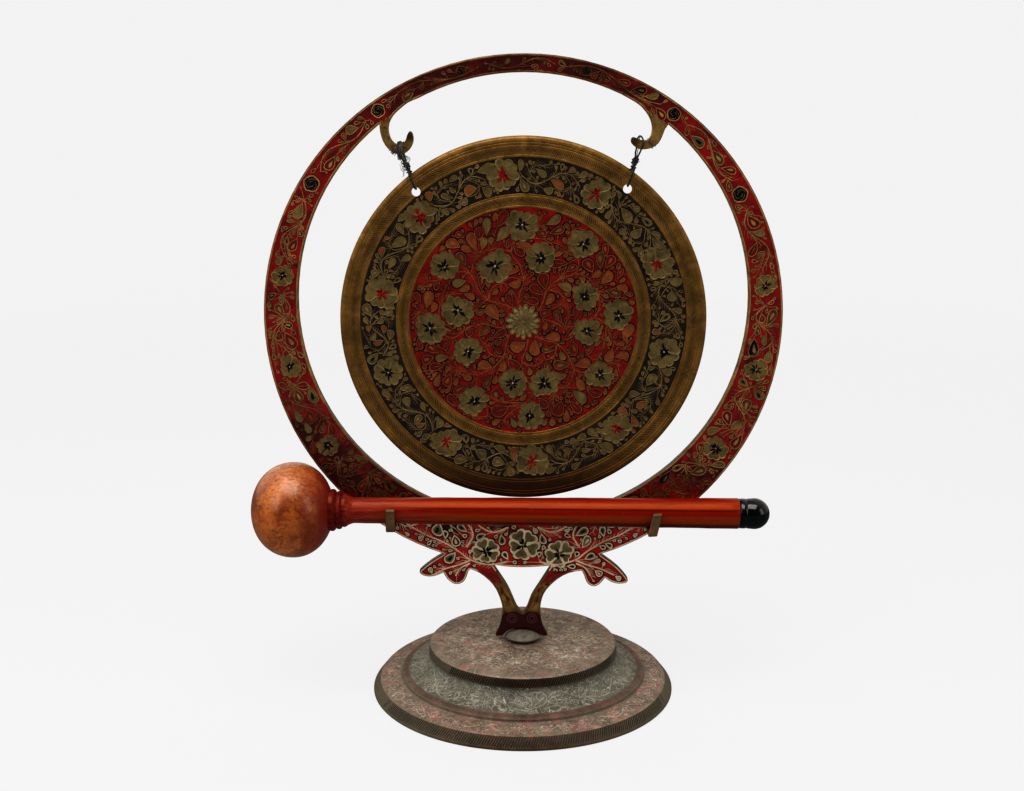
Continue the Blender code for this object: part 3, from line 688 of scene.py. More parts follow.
def plate_look():
    """The stand's plate: red enamel in front, bare brass on hooks, legs, edges and back."""
    look = Look("plate_enamel", coat=0.2, coat_roughness=0.25)
    z = look.axis("Z")
    cloud = look.noise(10, 6, 0.65, twist=0.8)
    grain = look.noise(0.6, 4, 0.7)
    red = look.mix(look.ramp(cloud, 0.36, 0.66), RED_DEEP, RED)
    red = look.mix(look.ramp(look.noise(5, 5, 0.7), 0.52, 0.70, 0.0, 0.75), red, MAROON)
    # Painted light: low on the plate the red turns brighter and more vivid.
    red = look.mix(look.ramp(z, 0.098, 0.080), red, look.mix(look.ramp(cloud, 0.3, 0.6), RED, VIVID_RED))
    red = look.mix(look.ramp(grain, 0.45, 0.8, 0.0, 0.4), red, MAROON)
    # Painted shade: maroon over the ring's top, over its lower parts (more on the left) and over the legs'
    # foot.
    shade_height = look.plus(z, look.ramp(look.noise(22, 4), 0.3, 0.7, -0.03, 0.03))
    top = look.ramp(shade_height, 0.255, 0.290)
    slope = look.plus(shade_height, look.ramp(look.axis("X"), -0.08, 0.08, 0.0, 0.014))
    low = look.times(look.ramp(slope, 0.134, 0.114), look.ramp(shade_height, 0.086, 0.096))
    wobble = look.ramp(look.noise(4, 4), 0.3, 0.7, -0.0012, 0.0012)
    near = look.plus(z, wobble)
    foot = look.either(look.ramp(near, 0.042, 0.038), look.ramp(near, 0.066, 0.058, 0.0, 0.55))
    shade = look.either(look.times(top, 0.92), look.either(look.times(low, 0.95), foot))
    red = look.mix(shade, red, MAROON)
    chip = look.ramp(look.noise(0.9, 6, 0.8, twist=1.4), 0.66, 0.71)
    red = look.mix(look.times(chip, 0.6), red, TAN)
    brass = look.mix(look.ramp(look.noise(6, 6, 0.7), 0.34, 0.62), BRASS_DARK, BRASS_LIGHT)
    brass = look.mix(look.ramp(look.noise(2.0, 6, 0.8), 0.52, 0.75, 0.0, 0.6), brass, BRASS_DIRT_AND_SHADE)
    stained = look.ramp(look.noise(4, 6, 0.75), 0.56, 0.66, 0.0, 0.55)
    brass = look.mix(stained, brass, RED_DEEP)
    tips = look.either(look.ramp(look.distance(BASE_X + LEFT_TIP[0], LEFT_TIP[1]), 0.006, 0.003, 0.0, 0.8),
                       look.ramp(look.distance(BASE_X + RIGHT_TIP[0], RIGHT_TIP[1]), 0.005, 0.002, 0.0, 0.8))
    brass = look.mix(tips, brass, BRASS_DIRT_AND_SHADE)
    # Painted shade: brass that faces upward is darkened.
    brass = look.mix(look.ramp(look.facing("Z"), 0.1, 0.5, 0.0, 0.85), brass, BRASS_DIRT_AND_SHADE)
    # Painted shade: below about 40 mm the brass turns maroon, as the enamel does on the foot.
    brass = look.mix(look.ramp(near, 0.040, 0.036), brass, MAROON)
    front = look.ramp(look.facing("Y"), -0.93, -0.97)
    hooks = look.ramp(look.plus(look.distance(BASE_X, OPENING_Z), wobble),
                      (OPENING_R - 0.2) * MM, (OPENING_R + 0.4) * MM)
    legs = look.times(look.ramp(near, 0.0372, 0.0388), look.ramp(near, 0.0535, 0.0510))
    legs = look.times(legs, look.ramp(look.distance(BASE_X, None, 0.0), 0.024, 0.022))
    painted = look.times(look.times(front, hooks), look.calc("SUBTRACT", 1.0, legs))
    look.bump(grain, 0.05, 0.5)
    look.bump(look.noise(3, 5), 0.15, 0.5)
    shine = look.ramp(look.noise(2.4, 5, 0.7), 0.3, 0.75, 0.25, 0.6)
    return look.done(look.mix(painted, brass, red), shine,
                     look.times(look.calc("SUBTRACT", 1.0, painted), 0.65))


def head_look():
    """Orange varnished wood: crazed, grimy in fine wavy cracks, paler on top, underneath and at the left
    from painted highlight.
    """
    look = Look("head_wood", coat=0.55, coat_roughness=0.2)
    low, high = corners("beater_head")
    cloud = look.noise(13, 6, 0.65)
    grain = look.noise(1.3, 7, 0.8, (0.55, 1, 1), 0.5)
    fine = look.noise(0.55, 4, 0.8, (0.5, 1, 1))
    tone = look.mix(look.ramp(cloud, 0.40, 0.60), (0.22, 0.048, 0.009), (0.50, 0.155, 0.028))
    dirty = look.ramp(look.noise(8, 5, 0.7), 0.42, 0.62, 0.25, 0.95)
    tone = look.mix(look.times(look.ramp(grain, 0.48, 0.60), dirty), tone, (0.085, 0.018, 0.005))
    tone = look.mix(look.ramp(fine, 0.52, 0.68, 0.0, 0.6), tone, (0.12, 0.025, 0.006))
    up, across = look.facing("Z"), look.axis("X")
    # Painted highlight: paler on faces that look up or down, most on the left, broken up by the grain.
    painted_sheen = look.plus(look.ramp(up, 0.35, 0.95), look.ramp(up, -0.55, -0.95))
    left = look.ramp(across, (low[0] + 26) * MM, (low[0] + 4) * MM)
    painted_sheen = look.times(painted_sheen, look.plus(look.times(left, 0.45), 0.2))
    painted_sheen = look.times(painted_sheen, look.ramp(grain, 0.62, 0.40))
    tone = look.mix(painted_sheen, tone, (0.82, 0.42, 0.24))
    speck = look.ramp(look.noise(0.7, 4, 0.85, (0.5, 1, 1)), 0.64, 0.70)
    tone = look.mix(look.times(speck, 0.55), tone, (0.80, 0.50, 0.28))
    worn = look.times(look.ramp(across, (low[0] + 19) * MM, (low[0] + 30) * MM),
                      look.ramp(look.noise(1.7, 7, 0.85), 0.55, 0.61, 0.0, 0.85))
    tone = look.mix(worn, tone, (0.045, 0.014, 0.008))
    red = look.ramp(look.plus(across, look.ramp(look.noise(9, 5), 0.3, 0.7, -0.004, 0.004)),
                    (high[0] - 13) * MM, (high[0] - 3) * MM, 0.0, 0.85)
    tone = look.mix(red, tone, (0.20, 0.014, 0.008))
    look.bump(grain, 0.16, 0.7)
    look.bump(fine, 0.06, 0.5)
    look.bump(look.noise(4.5, 5, 0.7), 0.45, 0.7)
    look.bump(look.noise(14, 4), 0.9, 0.6)
    return look.done(tone, look.ramp(look.noise(4, 6, 0.7), 0.3, 0.75, 0.25, 0.5))


def shaft_look():
    """Red lacquered stick streaked along its length, banded round it with painted reflections and painted
    shade.
    """
    look = Look("shaft_wood", coat=0.08, coat_roughness=0.3)
    look.shader.inputs["Specular Tint"].default_value = (1.0, 0.40, 0.16, 1.0)
    left = corners("beater_shaft")[0][0]
    across = look.axis("X")
    streak = look.noise(7, 6, 0.7, (0.03, 1, 1))
    grain = look.noise(1.4, 6, 0.75, (0.05, 1, 1))
    # Bands by which way the surface faces: the orange band above and the amber band below the middle are
    # painted reflections, the dark underside is painted shade.
    sheen_bands = look.plus(look.ramp(look.facing("Z"), -1.0, 1.0), look.ramp(streak, 0.3, 0.7, -0.03, 0.03))
    dark, red = (0.075, 0.005, 0.003), (0.20, 0.010, 0.003)
    orange, amber = (0.31, 0.038, 0.005), (0.23, 0.038, 0.008)
    tone = look.bands(sheen_bands, [(0.0, dark), (0.18, dark), (0.27, amber), (0.47, amber), (0.55, red),
                               (0.67, red), (0.71, dark), (0.76, orange), (0.92, orange), (0.985, red)])
    tone = look.mix(look.ramp(streak, 0.46, 0.62, 0.0, 0.75), tone, red)
    tone = look.mix(look.ramp(grain, 0.5, 0.72, 0.0, 0.5), tone, dark)
    speck = look.ramp(look.noise(0.7, 4, 0.85, (0.4, 1, 1)), 0.66, 0.71)
    tone = look.mix(look.times(speck, 0.6), tone, (0.75, 0.36, 0.14))
    grimy = look.ramp(look.noise(5, 6, 0.8), 0.56, 0.66, 0.0, 0.6)
    tone = look.mix(look.times(grimy, look.ramp(across, -0.02, -0.08)), tone, dark)
    cloudy = look.plus(across, look.ramp(look.noise(18, 4), 0.3, 0.7, -0.012, 0.012))
    near = look.ramp(cloudy, (left + 20) * MM, (left + 70) * MM, 0.85, 0.0)
    collar = look.ramp(across, (left + 18) * MM, (left + 15) * MM, 0.0, 0.85)
    ring = look.ramp(across, (left + 7.8) * MM, (left + 7.2) * MM)
    for mask, pale, deep in ((near, (0.30, 0.050, 0.032), (0.13, 0.009, 0.008)),
                             (collar, (0.16, 0.010, 0.010), (0.05, 0.005, 0.006)),
                             (ring, (0.42, 0.10, 0.035), (0.22, 0.035, 0.012))):
        tone = look.mix(mask, tone, look.mix(look.ramp(grain, 0.4, 0.6), pale, deep))
    look.bump(grain, 0.05, 0.35)
    look.bump(look.noise(14, 4), 0.5, 0.3)
    return look.done(tone, look.ramp(look.noise(4, 6, 0.7), 0.3, 0.75, 0.25, 0.42))


def knob_look():
    """Black gloss lacquer, nearly even."""
    look = Look("knob_gloss", coat=0.5, coat_roughness=0.05)
    grain = look.noise(2, 5, 0.7)
    tone = look.mix(look.ramp(grain, 0.4, 0.7), (0.002, 0.003, 0.004), (0.006, 0.008, 0.010))
    look.bump(look.noise(6, 3), 0.1, 0.3)
    return look.done(tone, look.ramp(look.noise(1.2, 5), 0.3, 0.8, 0.08, 0.22))


def base_look(name, ground, light, stain, stain_amount, metallic=0.35, swirls=0.0):
    """Dull dusty metal with rubbed highlights, worn swirls and remains of pink lacquer."""
    look = Look(name)
    cloud = look.noise(8, 7, 0.7, twist=0.7)
    grain = look.noise(0.7, 5, 0.75)
    dark = tuple(c * 0.45 for c in ground)
    tone = look.mix(look.ramp(cloud, 0.35, 0.66), dark, ground)
    tone = look.mix(look.ramp(grain, 0.48, 0.78, 0.0, 0.75), tone, dark)
    pale = look.ramp(look.noise(1.6, 8, 0.85, (1, 1, 1), 3.0), 0.56, 0.66, 0.0, 0.8)
    tone = look.mix(pale, tone, light)
    flow = look.times(look.noise(17, 2, 0.5, twist=1.6), 13.0)
    line = look.ramp(look.calc("PINGPONG", flow, 0.5), 0.17, 0.06, 0.0, swirls)
    broken = look.ramp(look.noise(2.2, 5, 0.8), 0.42, 0.58)
    tone = look.mix(look.times(line, broken), tone, light)
    patch = look.ramp(look.noise(10, 7, 0.75, twist=1.0), 0.62 - stain_amount, 0.70 - stain_amount * 0.7)
    speckle = look.ramp(look.noise(1.0, 6, 0.8), 0.42, 0.6)
    tone = look.mix(look.times(look.times(patch, speckle), 0.75), tone, stain)
    # Painted reflection: faces turned to the left or right take a grey-green sheen.
    side = look.ramp(look.calc("ABSOLUTE", look.facing("X")), 0.15, 0.75, 0.0, 0.55)
    tone = look.mix(side, tone, look.mix(0.5, tone, (0.27, 0.28, 0.22)))
    pit = look.ramp(look.noise(0.8, 6, 0.85), 0.62, 0.68, 0.0, 0.75)
    tone = look.mix(pit, tone, (0.06, 0.04, 0.03))
    look.bump(grain, 0.10, 0.6)
    look.bump(pale, 0.08, 0.5)
    return look.done(tone, look.ramp(look.noise(2.5, 6, 0.7), 0.3, 0.75, 0.45, 0.8),
                     look.ramp(patch, 0.0, 1.0, metallic, 0.05))


def fibre_look(name, colour, tip):
    """Matt spun fibre, paler where its hairs stand up."""
    look = Look(name)
    twist = look.noise(0.5, 4, 0.7, (1, 1, 0.4))
    look.bump(twist, 0.06, 0.6)
    return look.done(look.mix(look.ramp(twist, 0.4, 0.7), colour, tip),
                     look.ramp(twist, 0.3, 0.7, 0.65, 0.9))


# ---------------------------------------------------------------- the plate

LOOPS = [loop - (BASE_X, 0.0) for loop in front_loops("ring_frame")]
OPENING_Z, OPENING_R = 189.5, 104.2  # the round opening's centre and radius
HOOK_SPARE = 1.2  # how far inside that circle the bare hooks begin
FOOT_TOP = 36.0  # below it the foot has no bead
LEG_TOP, LEG_REACH = 60.0, 24.0  # the legs' box, kept free of grown leaves
FINIAL_TOP = 90.0  # the wide lower part with its finials ends here
TOP_SHADE = 284.0  # above it the rims are darkened as painted shade


def on_plate(points):
    """Plate coordinates to the row frame, heights towards the front."""
    p = np.asarray(points, float)
    return np.stack([p[:, 0] + BASE_X, PLATE_FACE - p[:, 2], p[:, 1]], 1)


def inside(points, loops):
    """Which flat points lie on the plate."""
    hits = np.zeros(len(points), int)
    u, v = points[:, :1], points[:, 1:2]
    for loop in loops:
        (ax, ay), (bx, by) = loop.T, np.roll(loop, -1, 0).T
        rise = np.where(by == ay, 1.0, by - ay)
        crossing = ((v < ay) != (v < by)) & (u < ax + (v - ay) * (bx - ax) / rise)
        hits += crossing.sum(1)
    return hits % 2 == 1


def moved_in(loop, distance):
    """A loop moved towards the plate's own side."""
    way = np.roll(loop, -1, 0) - np.roll(loop, 1, 0)
    way /= np.linalg.norm(way, axis=1)[:, None]
    return loop + np.stack([-way[:, 1], way[:, 0]], 1) * distance


def round_ring(degrees, share):
    """A place on the ring's band: share 0 at its inner edge, 1 at its outer."""
    a = math.radians(degrees)
    way = np.array([math.cos(a), math.sin(a)])
    off = OPENING_Z - RING_Z
    inner = off * way[1] + math.sqrt(OPENING_R ** 2 - (off * way[0]) ** 2)
    return np.array([0.0, RING_Z]) + way * (inner + (RING_R - inner) * share)


def resampled(loop, step):
    """A closed loop with points every step millimetres."""
    closed = np.vstack([loop, loop[:1]])
    run = np.concatenate([[0], np.cumsum(np.linalg.norm(np.diff(closed, axis=0), axis=1))])
    t = np.arange(0, run[-1], step)
    return np.stack([np.interp(t, run, closed[:, 0]), np.interp(t, run, closed[:, 1])], 1)


def leg_middle(sign, v):
    """The middle of one leg at a height."""
    across = np.column_stack([sign * np.arange(2.0, 28.0, 0.25), np.full(104, v)])
    held = inside(across, LOOPS)
    first = int(np.argmax(held))
    last = first + int(np.argmin(held[first:]))
    return (across[first] + across[last - 1]) / 2


def bead_edges(relief):
    """A bead along every edge of the plate, left out on the hooks and the foot."""
    for loop in LOOPS:
        edge = moved_in(resampled(loop, 1.1), 0.3)
        bare = np.hypot(edge[:, 0], edge[:, 1] - OPENING_Z) < OPENING_R - HOOK_SPARE
        bare |= edge[:, 1] < FOOT_TOP
        starts = [k for k in range(len(edge)) if bare[k - 1] and not bare[k]]
        if not starts:
            ribbon(relief, edge, 0.7, 0.12, RIM, closed=True)
        for start in starts:
            length = int(np.argmax(np.roll(bare, -start)))
            run = np.roll(edge, -start, 0)[:length]
            ribbon(relief, run, np.where(run[:, 1] < 58.0, 0.6, 0.7), 0.12, RIM)
        outline = resampled(loop, 0.8)
        relief.take(np.column_stack([outline, np.full(len(outline), 0.8)]))


def near_legs(u, v, top=LEG_TOP):
    """Whether plate coordinates lie on the legs or the foot."""
    return (abs(u) < LEG_REACH) & (v < top)


def graded(tries, lengths):
    """The tries shared out equally over leaf lengths, longest first."""
    return [(length, tries // len(lengths)) for length in lengths]


def make_plate_ornament(looks):
    """Edge beads, flowers, vines, leaves and buds on the plate's front."""
    bright_rim, shaded_rim, light_fill, leaf, pink = range(5, 10)
    relief = Relief(on_plate)
    bead_edges(relief)
    for degrees, share, size, kind in (
            (124.5, 0.5, 3.3, rose), (147, 0.55, 3.9, rose), (169.4, 0.5, 5.1, pansy),
            (191.5, 0.5, 5.4, pansy), (213, 0.5, 5.6, pansy), (232, 0.55, 5.4, pansy),
            (54.2, 0.5, 3.3, rose), (30.4, 0.5, 3.9, rose), (8.1, 0.5, 5.0, pansy),
            (-12.2, 0.5, 5.4, pansy), (-34, 0.5, 6.0, pansy), (-53, 0.55, 5.4, pansy),
            (104, 0.5, 2.4, rose), (76, 0.5, 2.4, rose)):
        flower(relief, kind, round_ring(degrees, share), size,
               math.radians(degrees) + rng.uniform(-0.5, 0.5))
    for u, v, size in ((0.1, 72.3, 7.7), (-17.5, 68.8, 6.7), (17.6, 67.4, 6.9)):
        flower(relief, pansy, (u, v), size, -math.pi / 2 + rng.uniform(-0.2, 0.2),
               rim=0.75, bold=True)

    for first, last in ((100, 121), (128, 143.5), (151, 165), (174, 187), (196, 208), (218, 228),
                        (236, 252), (80, 58), (50.5, 34), (26.5, 12.5), (3.5, -7.5), (-17, -28.5),
                        (-39.5, -49), (-57, -72), (97, 83)):
        side = rng.choice((-1, 1))
        path = []
        for t in np.linspace(0, 1, 16):
            sway = 0.5 + side * 0.27 * math.sin(t * TAU)
            path.append(round_ring(first + (last - first) * t, sway))
        vine(relief, path, 0.7)
    for sign in (-1, 1):
        for path in (((8, 63.5), (16, 62.2), (25, 64.5), (31, 69), (38, 73.5), (47, 77.5), (56, 83)),
                     ((25, 64.5), (31, 62), (37, 60.2), (44, 56.8)),
                     ((25.5, 62.8), (30, 60.5), (32.6, 56.5)),
                     ((27, 71), (24, 77), (27, 83), (35, 86), (47, 86), (60, 90)),
                     ((7, 81), (14, 78.5), (20, 81), (24, 85), (33, 88)),
                     ((1, 82.5), (7, 83.6), (12, 82.8), (18, 84.5))):
            flipped = [(sign * u, v) for u, v in path]
            vine(relief, smooth_line(flipped, 5), 1.05)

    def within(circles):
        """Whether all circle middles lie on the plate."""
        return inside(np.array(circles)[:, :2], LOOPS).all()

    spots = np.array([(rng.uniform(-RING_R, RING_R), rng.uniform(50, RING_TOP))
                      for _ in range(60000)])
    keep = inside(spots, LOOPS) & (np.hypot(spots[:, 0], spots[:, 1] - OPENING_Z) > OPENING_R)
    keep &= ~near_legs(*spots.T)
    spots = spots[keep & (spots[:, 1] > FINIAL_TOP)]
    combs(relief, 90, within, 3.6)
    low = np.array([(rng.uniform(-66, 66), rng.uniform(50, 92)) for _ in range(16000)])
    low = low[inside(low, LOOPS) & ~near_legs(*low.T)]
    sprout(relief, low, graded(len(low), (7.6, 6.4, 5.2, 4.0, 2.9, 2.0)),
           [(FILL, DARK), (FILL, DARK), (FILL, RIM), (leaf, RIM), (leaf, DARK)], within, gap=0.3,
           plump=(0.58, 0.85), rim=0.6, shade=DARK)
    sprout(relief, spots, graded(len(spots), (8.2, 6.6, 5.2, 3.9, 2.8, 1.9)),
           [(FILL, DARK), (FILL, None), (DARK, RIM), (leaf, RIM), (leaf, None), (leaf, RIM), (ALT, RIM)],
           within, gap=0.10, plump=(0.48, 0.72), rim=0.36)

    for sign in (-1, 1):
        for reach in (2.3, 1.25):
            ring = spiral(sign * 4.85 - 0.5, 34.6, reach, reach, 1.0, 0.0, 15)[:-1]
            ribbon(relief, ring, 0.32, 0.12, pink, closed=True)
        middle = [leg_middle(sign, v) for v in np.linspace(57.0, 41.0, 9)]
        ribbon(relief, smooth_line(middle, 3), 0.5 * np.linspace(0.6, 1.2, 25), 0.12, RIM)
        for (a, b), swing in ((middle[1:3], 0.25), (middle[3:5], -0.25), (middle[5:7], 0.2)):
            way = math.atan2(*(b - a)[::-1]) + swing
            drop(relief, *a, way, 4.2, 1.9, leaf, rim=0.3)

    def recast(middles, slots):
        """Rims and fillings brighter low down, partly cleaner metal and partly painted light; darkened as
        painted shade on the legs, the low ring and the top.
        """
        x, z = middles[:, 0], middles[:, 2]
        legs = near_legs(x - BASE_X, z, 59.0)
        low = z < FINIAL_TOP
        # Painted shade falls on the legs and on the ring low down, more to the left.
        shaded = legs | ~low & (z < 124.0 - x * 0.2)
        low &= ~legs
        # Brighter rims and fillings low down: partly cleaner metal, partly painted light.
        slots = np.where((slots == RIM) & low, bright_rim, slots)
        slots = np.where((slots == RIM) & ((z > TOP_SHADE) | shaded), shaded_rim, slots)
        # Painted shade: umber fillings in the lowest shaded part.
        slots = np.where((slots == FILL) & shaded & (z < 110.0 - x * 0.06), ALT, slots)
        return np.where((slots == FILL) & low, light_fill, slots)

    return relief.build("plate_ornament", looks, "stand", "old_brass", recast=recast)


# ----------------------------------------------------------------- the gong

RED_R, BAND_R, BORDER_R = 53.0, 59.2, 75.7  # outer radii: medallion, inner band, border
GROUND = -0.12  # the enamel's level below the bare brass
ROLL_COS, _, ROLL_SIN = joint("gong_swing")["axis"]
ACROSS = np.array([ROLL_COS, 0, ROLL_SIN])
LEFT_HOLE = joint_place("gong_swing") - (0, 0, 1.5)
RIGHT_HOLE = LEFT_HOLE - 2 * ACROSS * float(np.dot(LEFT_HOLE - GONG, ACROSS))
HOLE_R = 2.1


def on_gong(points):
    """Gong coordinates to the row frame, turned with the gong."""
    p = np.asarray(points, float)
    return np.stack([GONG[0] + p[:, 0] * ROLL_COS - p[:, 1] * ROLL_SIN, GONG_FACE - p[:, 2],
                     GONG[2] + p[:, 0] * ROLL_SIN + p[:, 1] * ROLL_COS], 1)


def make_gong_plate(looks):
    """The dished plate: sunk enamel grounds between raised rings of bare brass."""
    red, brass, black, back = range(4)
    g = GROUND
    front = [(0.0, g, red), (18, g, red), (36, g, red), (RED_R, g, brass), (RED_R + 0.12, 0.0, brass),
             (53.8, 0.0, brass), (53.95, -0.1, brass), (54.15, -0.1, brass), (54.3, 0.0, brass),
             (58.1, 0.0, brass), (58.25, -0.1, brass), (58.45, -0.1, brass), (58.6, 0.0, brass),
             (BAND_R - 0.12, 0.0, brass), (BAND_R, g, black), (67, g, black), (BORDER_R, g, brass),
             (BORDER_R + 0.12, 0.0, brass), (76.6, 0.0, brass), (76.75, -0.12, brass),
             (76.95, -0.12, brass), (77.1, 0.0, brass), (80.9, 0.0, brass), (81.05, -0.14, brass),
             (81.35, -0.14, brass), (81.5, 0.0, brass), (82.2, 0.0, brass), (82.35, -0.14, brass),
             (82.65, -0.14, brass), (82.8, 0.0, brass), (83.9, -0.05, brass)]
    depth = GONG_EDGE - GONG_FACE
    rim = [(84.55, -0.35, brass), (84.95, -0.9, brass), (GONG_R, -1.5, brass),
           (GONG_R, -depth + 0.3, brass), (GONG_R - 0.3, -depth, brass),
           (GONG_R - 1.3, -depth, back), (GONG_R - 1.6, -depth + 0.3, back),
           (GONG_R - 1.6, -2.2, back), (GONG_R - 2.2, -1.6, back)]
    inner = [(70, -1.6, back), (60, -1.62, back), (48, -1.6, back), (30, -1.62, back),
             (14, -1.6, back), (0.0, -1.6, back)]
    rows = front + rim + inner
    points, faces, marks = lathe([(r, z) for r, z, _ in rows], [m for _, _, m in rows], 288, on_gong)
    plate = make_piece("gong_plate", points, faces, marks, looks, "gong",
                       ("gong_disc",), 30.0)
    for hole in (LEFT_HOLE, RIGHT_HOLE):
        bpy.ops.mesh.primitive_cylinder_add(vertices=40, radius=HOLE_R * MM, depth=0.02,
                                            location=Vector(hole) * MM,
                                            rotation=(math.pi / 2, 0, 0))
        cutter = bpy.context.active_object
        boolean = plate.modifiers.new("hole", "BOOLEAN")
        boolean.object = cutter
        boolean.solver = "EXACT"
        boolean.material_mode = "INDEX"
        bpy.context.view_layer.update()
        mesh = bpy.data.meshes.new_from_object(
            plate.evaluated_get(bpy.context.evaluated_depsgraph_get()))
        plate.modifiers.clear()
        plate.data = mesh
        bpy.data.objects.remove(cutter)
    plate.data.set_sharp_from_angle(angle=math.radians(30))
    return plate


def ring_of(radius, start, end, count, sway=0.0, waves=1, phase=0.0):
    """Points round a circle whose radius sways in and out."""
    a = np.radians(np.linspace(start, end, count))
    r = radius + sway * np.sin(waves * a + phase)
    return np.stack([r * np.cos(a), r * np.sin(a)], 1)


def polar(radius, degrees):
    """A flat point from its radius and angle."""
    a = math.radians(degrees)
    return np.array([radius * math.cos(a), radius * math.sin(a)])


def ring_limits(low, high):
    """A test that circles lie between two radii."""
    def within(circles):
        """Whether all circles lie wholly between them."""
        return all(low + r < math.hypot(u, v) < high - r for u, v, r in circles)
    return within


def on_gong_ground(points):
    """As on_gong, from the sunk enamel ground up."""
    return on_gong(np.asarray(points, float) + (0, 0, GROUND))


def make_medallion(looks):
    """The red middle: a rosette, sixteen pansies, vines, leaves and buds."""
    orange, umber, stem, leaf = range(5, 9)
    relief = Relief(on_gong_ground)
    edge = ring_of(RED_R, 0, 358, 240)
    relief.take(np.column_stack([edge, np.full(len(edge), 0.35)]))
    for reach, start, count in ((8.8, 0.1, 15), (6.4, 0.3, 13), (3.8, 0.2, 9)):
        shares = [rng.uniform(0.88, 1.05) for _ in range(count)]
        petals(relief, 0, 0, reach, start, shares, THIN_PETAL, ALT, 0.74, 0.22 + 0.5 / reach)
    dome(relief, 0, 0, 1.0, 0.46, RIM, 10)
    relief.take([(0, 0, 8.6)])
    for middle, sway, largest, angles in ((44.6, 1.2, 7.6, (90, 52, 3, -36, -87, -122, -177, 144)),
                                          (29.6, 1.4, 7.8, (22, 74, 116, 169, 207.5, 259.5, 288, 351))):
        for degrees in angles:
            place = polar(middle + rng.uniform(-sway, sway), degrees)
            size = rng.uniform(6.3, largest)
            flower(relief, pansy, place, size, rng.uniform(0, TAU))
    for k, degrees in enumerate((-2, 47, 95, 141, 188, 234, 273, 320)):
        swing = 12 if k % 2 else -12
        for width, branch in (
                (0.65, ((8.6, -1), (13.5, -0.1), (19, 0.5), (26, 0.2), (33, -0.35), (38.5, 0.1),
                        (43, 0.9), (48, 1.2), (51, 0.9))),
                (0.5, ((19, 0.5), (21.5, -0.8), (20.4, -2.0), (17.4, -2.4))),
                (0.5, ((33, -0.35), (36.5, -1.2), (36.4, -2.1), (38.5, -2.7))),
                (0.5, ((38.5, 0.1), (39.5, 1.5), (37.5, 2.3), (35.0, 2.2)))):
            path = [polar(r, degrees + swing * lean) for r, lean in branch]
            vine(relief, smooth_line(path, 5), width, slot=stem)
    within = ring_limits(8.0, RED_R - 0.5)
    combs(relief, 110, within, 3.8, slot=stem)
    spots = np.array([polar(RED_R * math.sqrt(rng.random()), rng.uniform(0, 360))
                      for _ in range(26000)])
    fills = [(orange, None), (orange, stem), (orange, None), (umber, stem), (leaf, None),
             (leaf, None), (leaf, stem), (FILL, None)]
    sprout(relief, spots,
           ((8.4, 4500), (6.8, 4500), (5.2, 4500), (3.8, 4500), (2.7, 4000), (1.9, 4000)),
           fills, within, gap=0.12, reach=9.0, stalk=stem, plump=(0.5, 0.8), rim=0.34, shade=DARK)
    return relief.build("gong_medallion", looks, "gong", "red_enamel")


def make_border(looks):
    """The dark border: ten flowers and a running vine crowded with leaves."""
    orange, red, leaf = range(4, 7)
    relief = Relief(on_gong_ground)
    for radius in (BAND_R, BORDER_R):
        edge = ring_of(radius, 0, 359, 360)
        relief.take(np.column_stack([edge, np.full(len(edge), 0.3)]))
    for hole in (LEFT_HOLE, RIGHT_HOLE):
        x, _, z = hole - GONG
        relief.take([(x * ROLL_COS + z * ROLL_SIN, z * ROLL_COS - x * ROLL_SIN, HOLE_R + 0.5)])
    flowers = (97, 60, 23, -13, -50, -87, -123, -160, -192, -226.5)
    plain = flowers[3::4]
    for degrees in flowers:
        place = polar(67.3 + rng.uniform(-0.6, 0.6), degrees)
        size = rng.uniform(7.0, 7.9)
        mark, heart = (DARK, PALE) if degrees in plain else (red, red)
        flower(relief, pansy, place, size, rng.uniform(0, TAU), mark=mark, heart=heart)
    for first, last in zip(flowers, flowers[1:] + (flowers[0] - 360,)):
        a, b = first - 7.0, last + 7.0
        side = rng.choice((-1, 1))
        path = [polar(67.4 + side * 3.6 * math.sin(t * TAU), a + (b - a) * t)
                for t in np.linspace(0, 1, 22)]
        vine(relief, path, 0.75)
        for t, way in ((0.3, side), (0.7, -side)):
            middle = a + (b - a) * t
            lean = (b - a) * 0.16 * way
            curl = [polar(67.4 + way * 3.2, middle), polar(67.4 - way * 1.2, middle + lean),
                    polar(67.4 - way * 4.6, middle + lean * 0.4), polar(67.4 - way * 4.2, middle - lean)]
            vine(relief, smooth_line(curl, 5), 0.5)
    within = ring_limits(BAND_R + 0.4, BORDER_R - 0.4)
    combs(relief, 110, within, 3.4)
    spots = np.array([polar(rng.uniform(BAND_R, BORDER_R), rng.uniform(0, 360))
                      for _ in range(30000)])
    fills = [(FILL, None), (FILL, DARK), (leaf, None), (leaf, None), (FILL, RIM), (orange, None),
             (leaf, RIM)]
    sprout(relief, spots,
           ((8.8, 5000), (7.2, 5000), (5.6, 5000), (4.2, 5000), (3.0, 5000), (2.0, 5000)),
           fills, within, gap=0.03, reach=9.0, plump=(0.55, 0.85), rim=0.36)
    return relief.build("gong_border", looks, "gong", "gong_brass")


def make_hatching(looks):
    """Oblique cuts, filled with dirt, along the gong's two brass bands."""
    relief = Relief(on_gong)
    holes = [(h - GONG)[[0, 2]] for h in (LEFT_HOLE, RIGHT_HOLE)]
    for low, high, count in ((54.6, 57.9, 320), (77.2, 80.8, 440)):
        for k in range(count):
            a = TAU * k / count + rng.uniform(-0.0012, 0.0012)
            shift = 0.9 * (high - low) / low
            start = (low * math.cos(a), low * math.sin(a))
            end = (high * math.cos(a + shift), high * math.sin(a + shift))
            middle = (np.array(start) + end) / 2
            if min(np.hypot(*(middle - h)) for h in holes) < HOLE_R + 2.0:
                continue
            stroke(relief, start, end, rng.uniform(0.3, 0.46), 0.015, 0, 0.5)
    return relief.build("gong_hatching", looks, "gong", "gong_brass")


# ----------------------------------------------------------------- the base

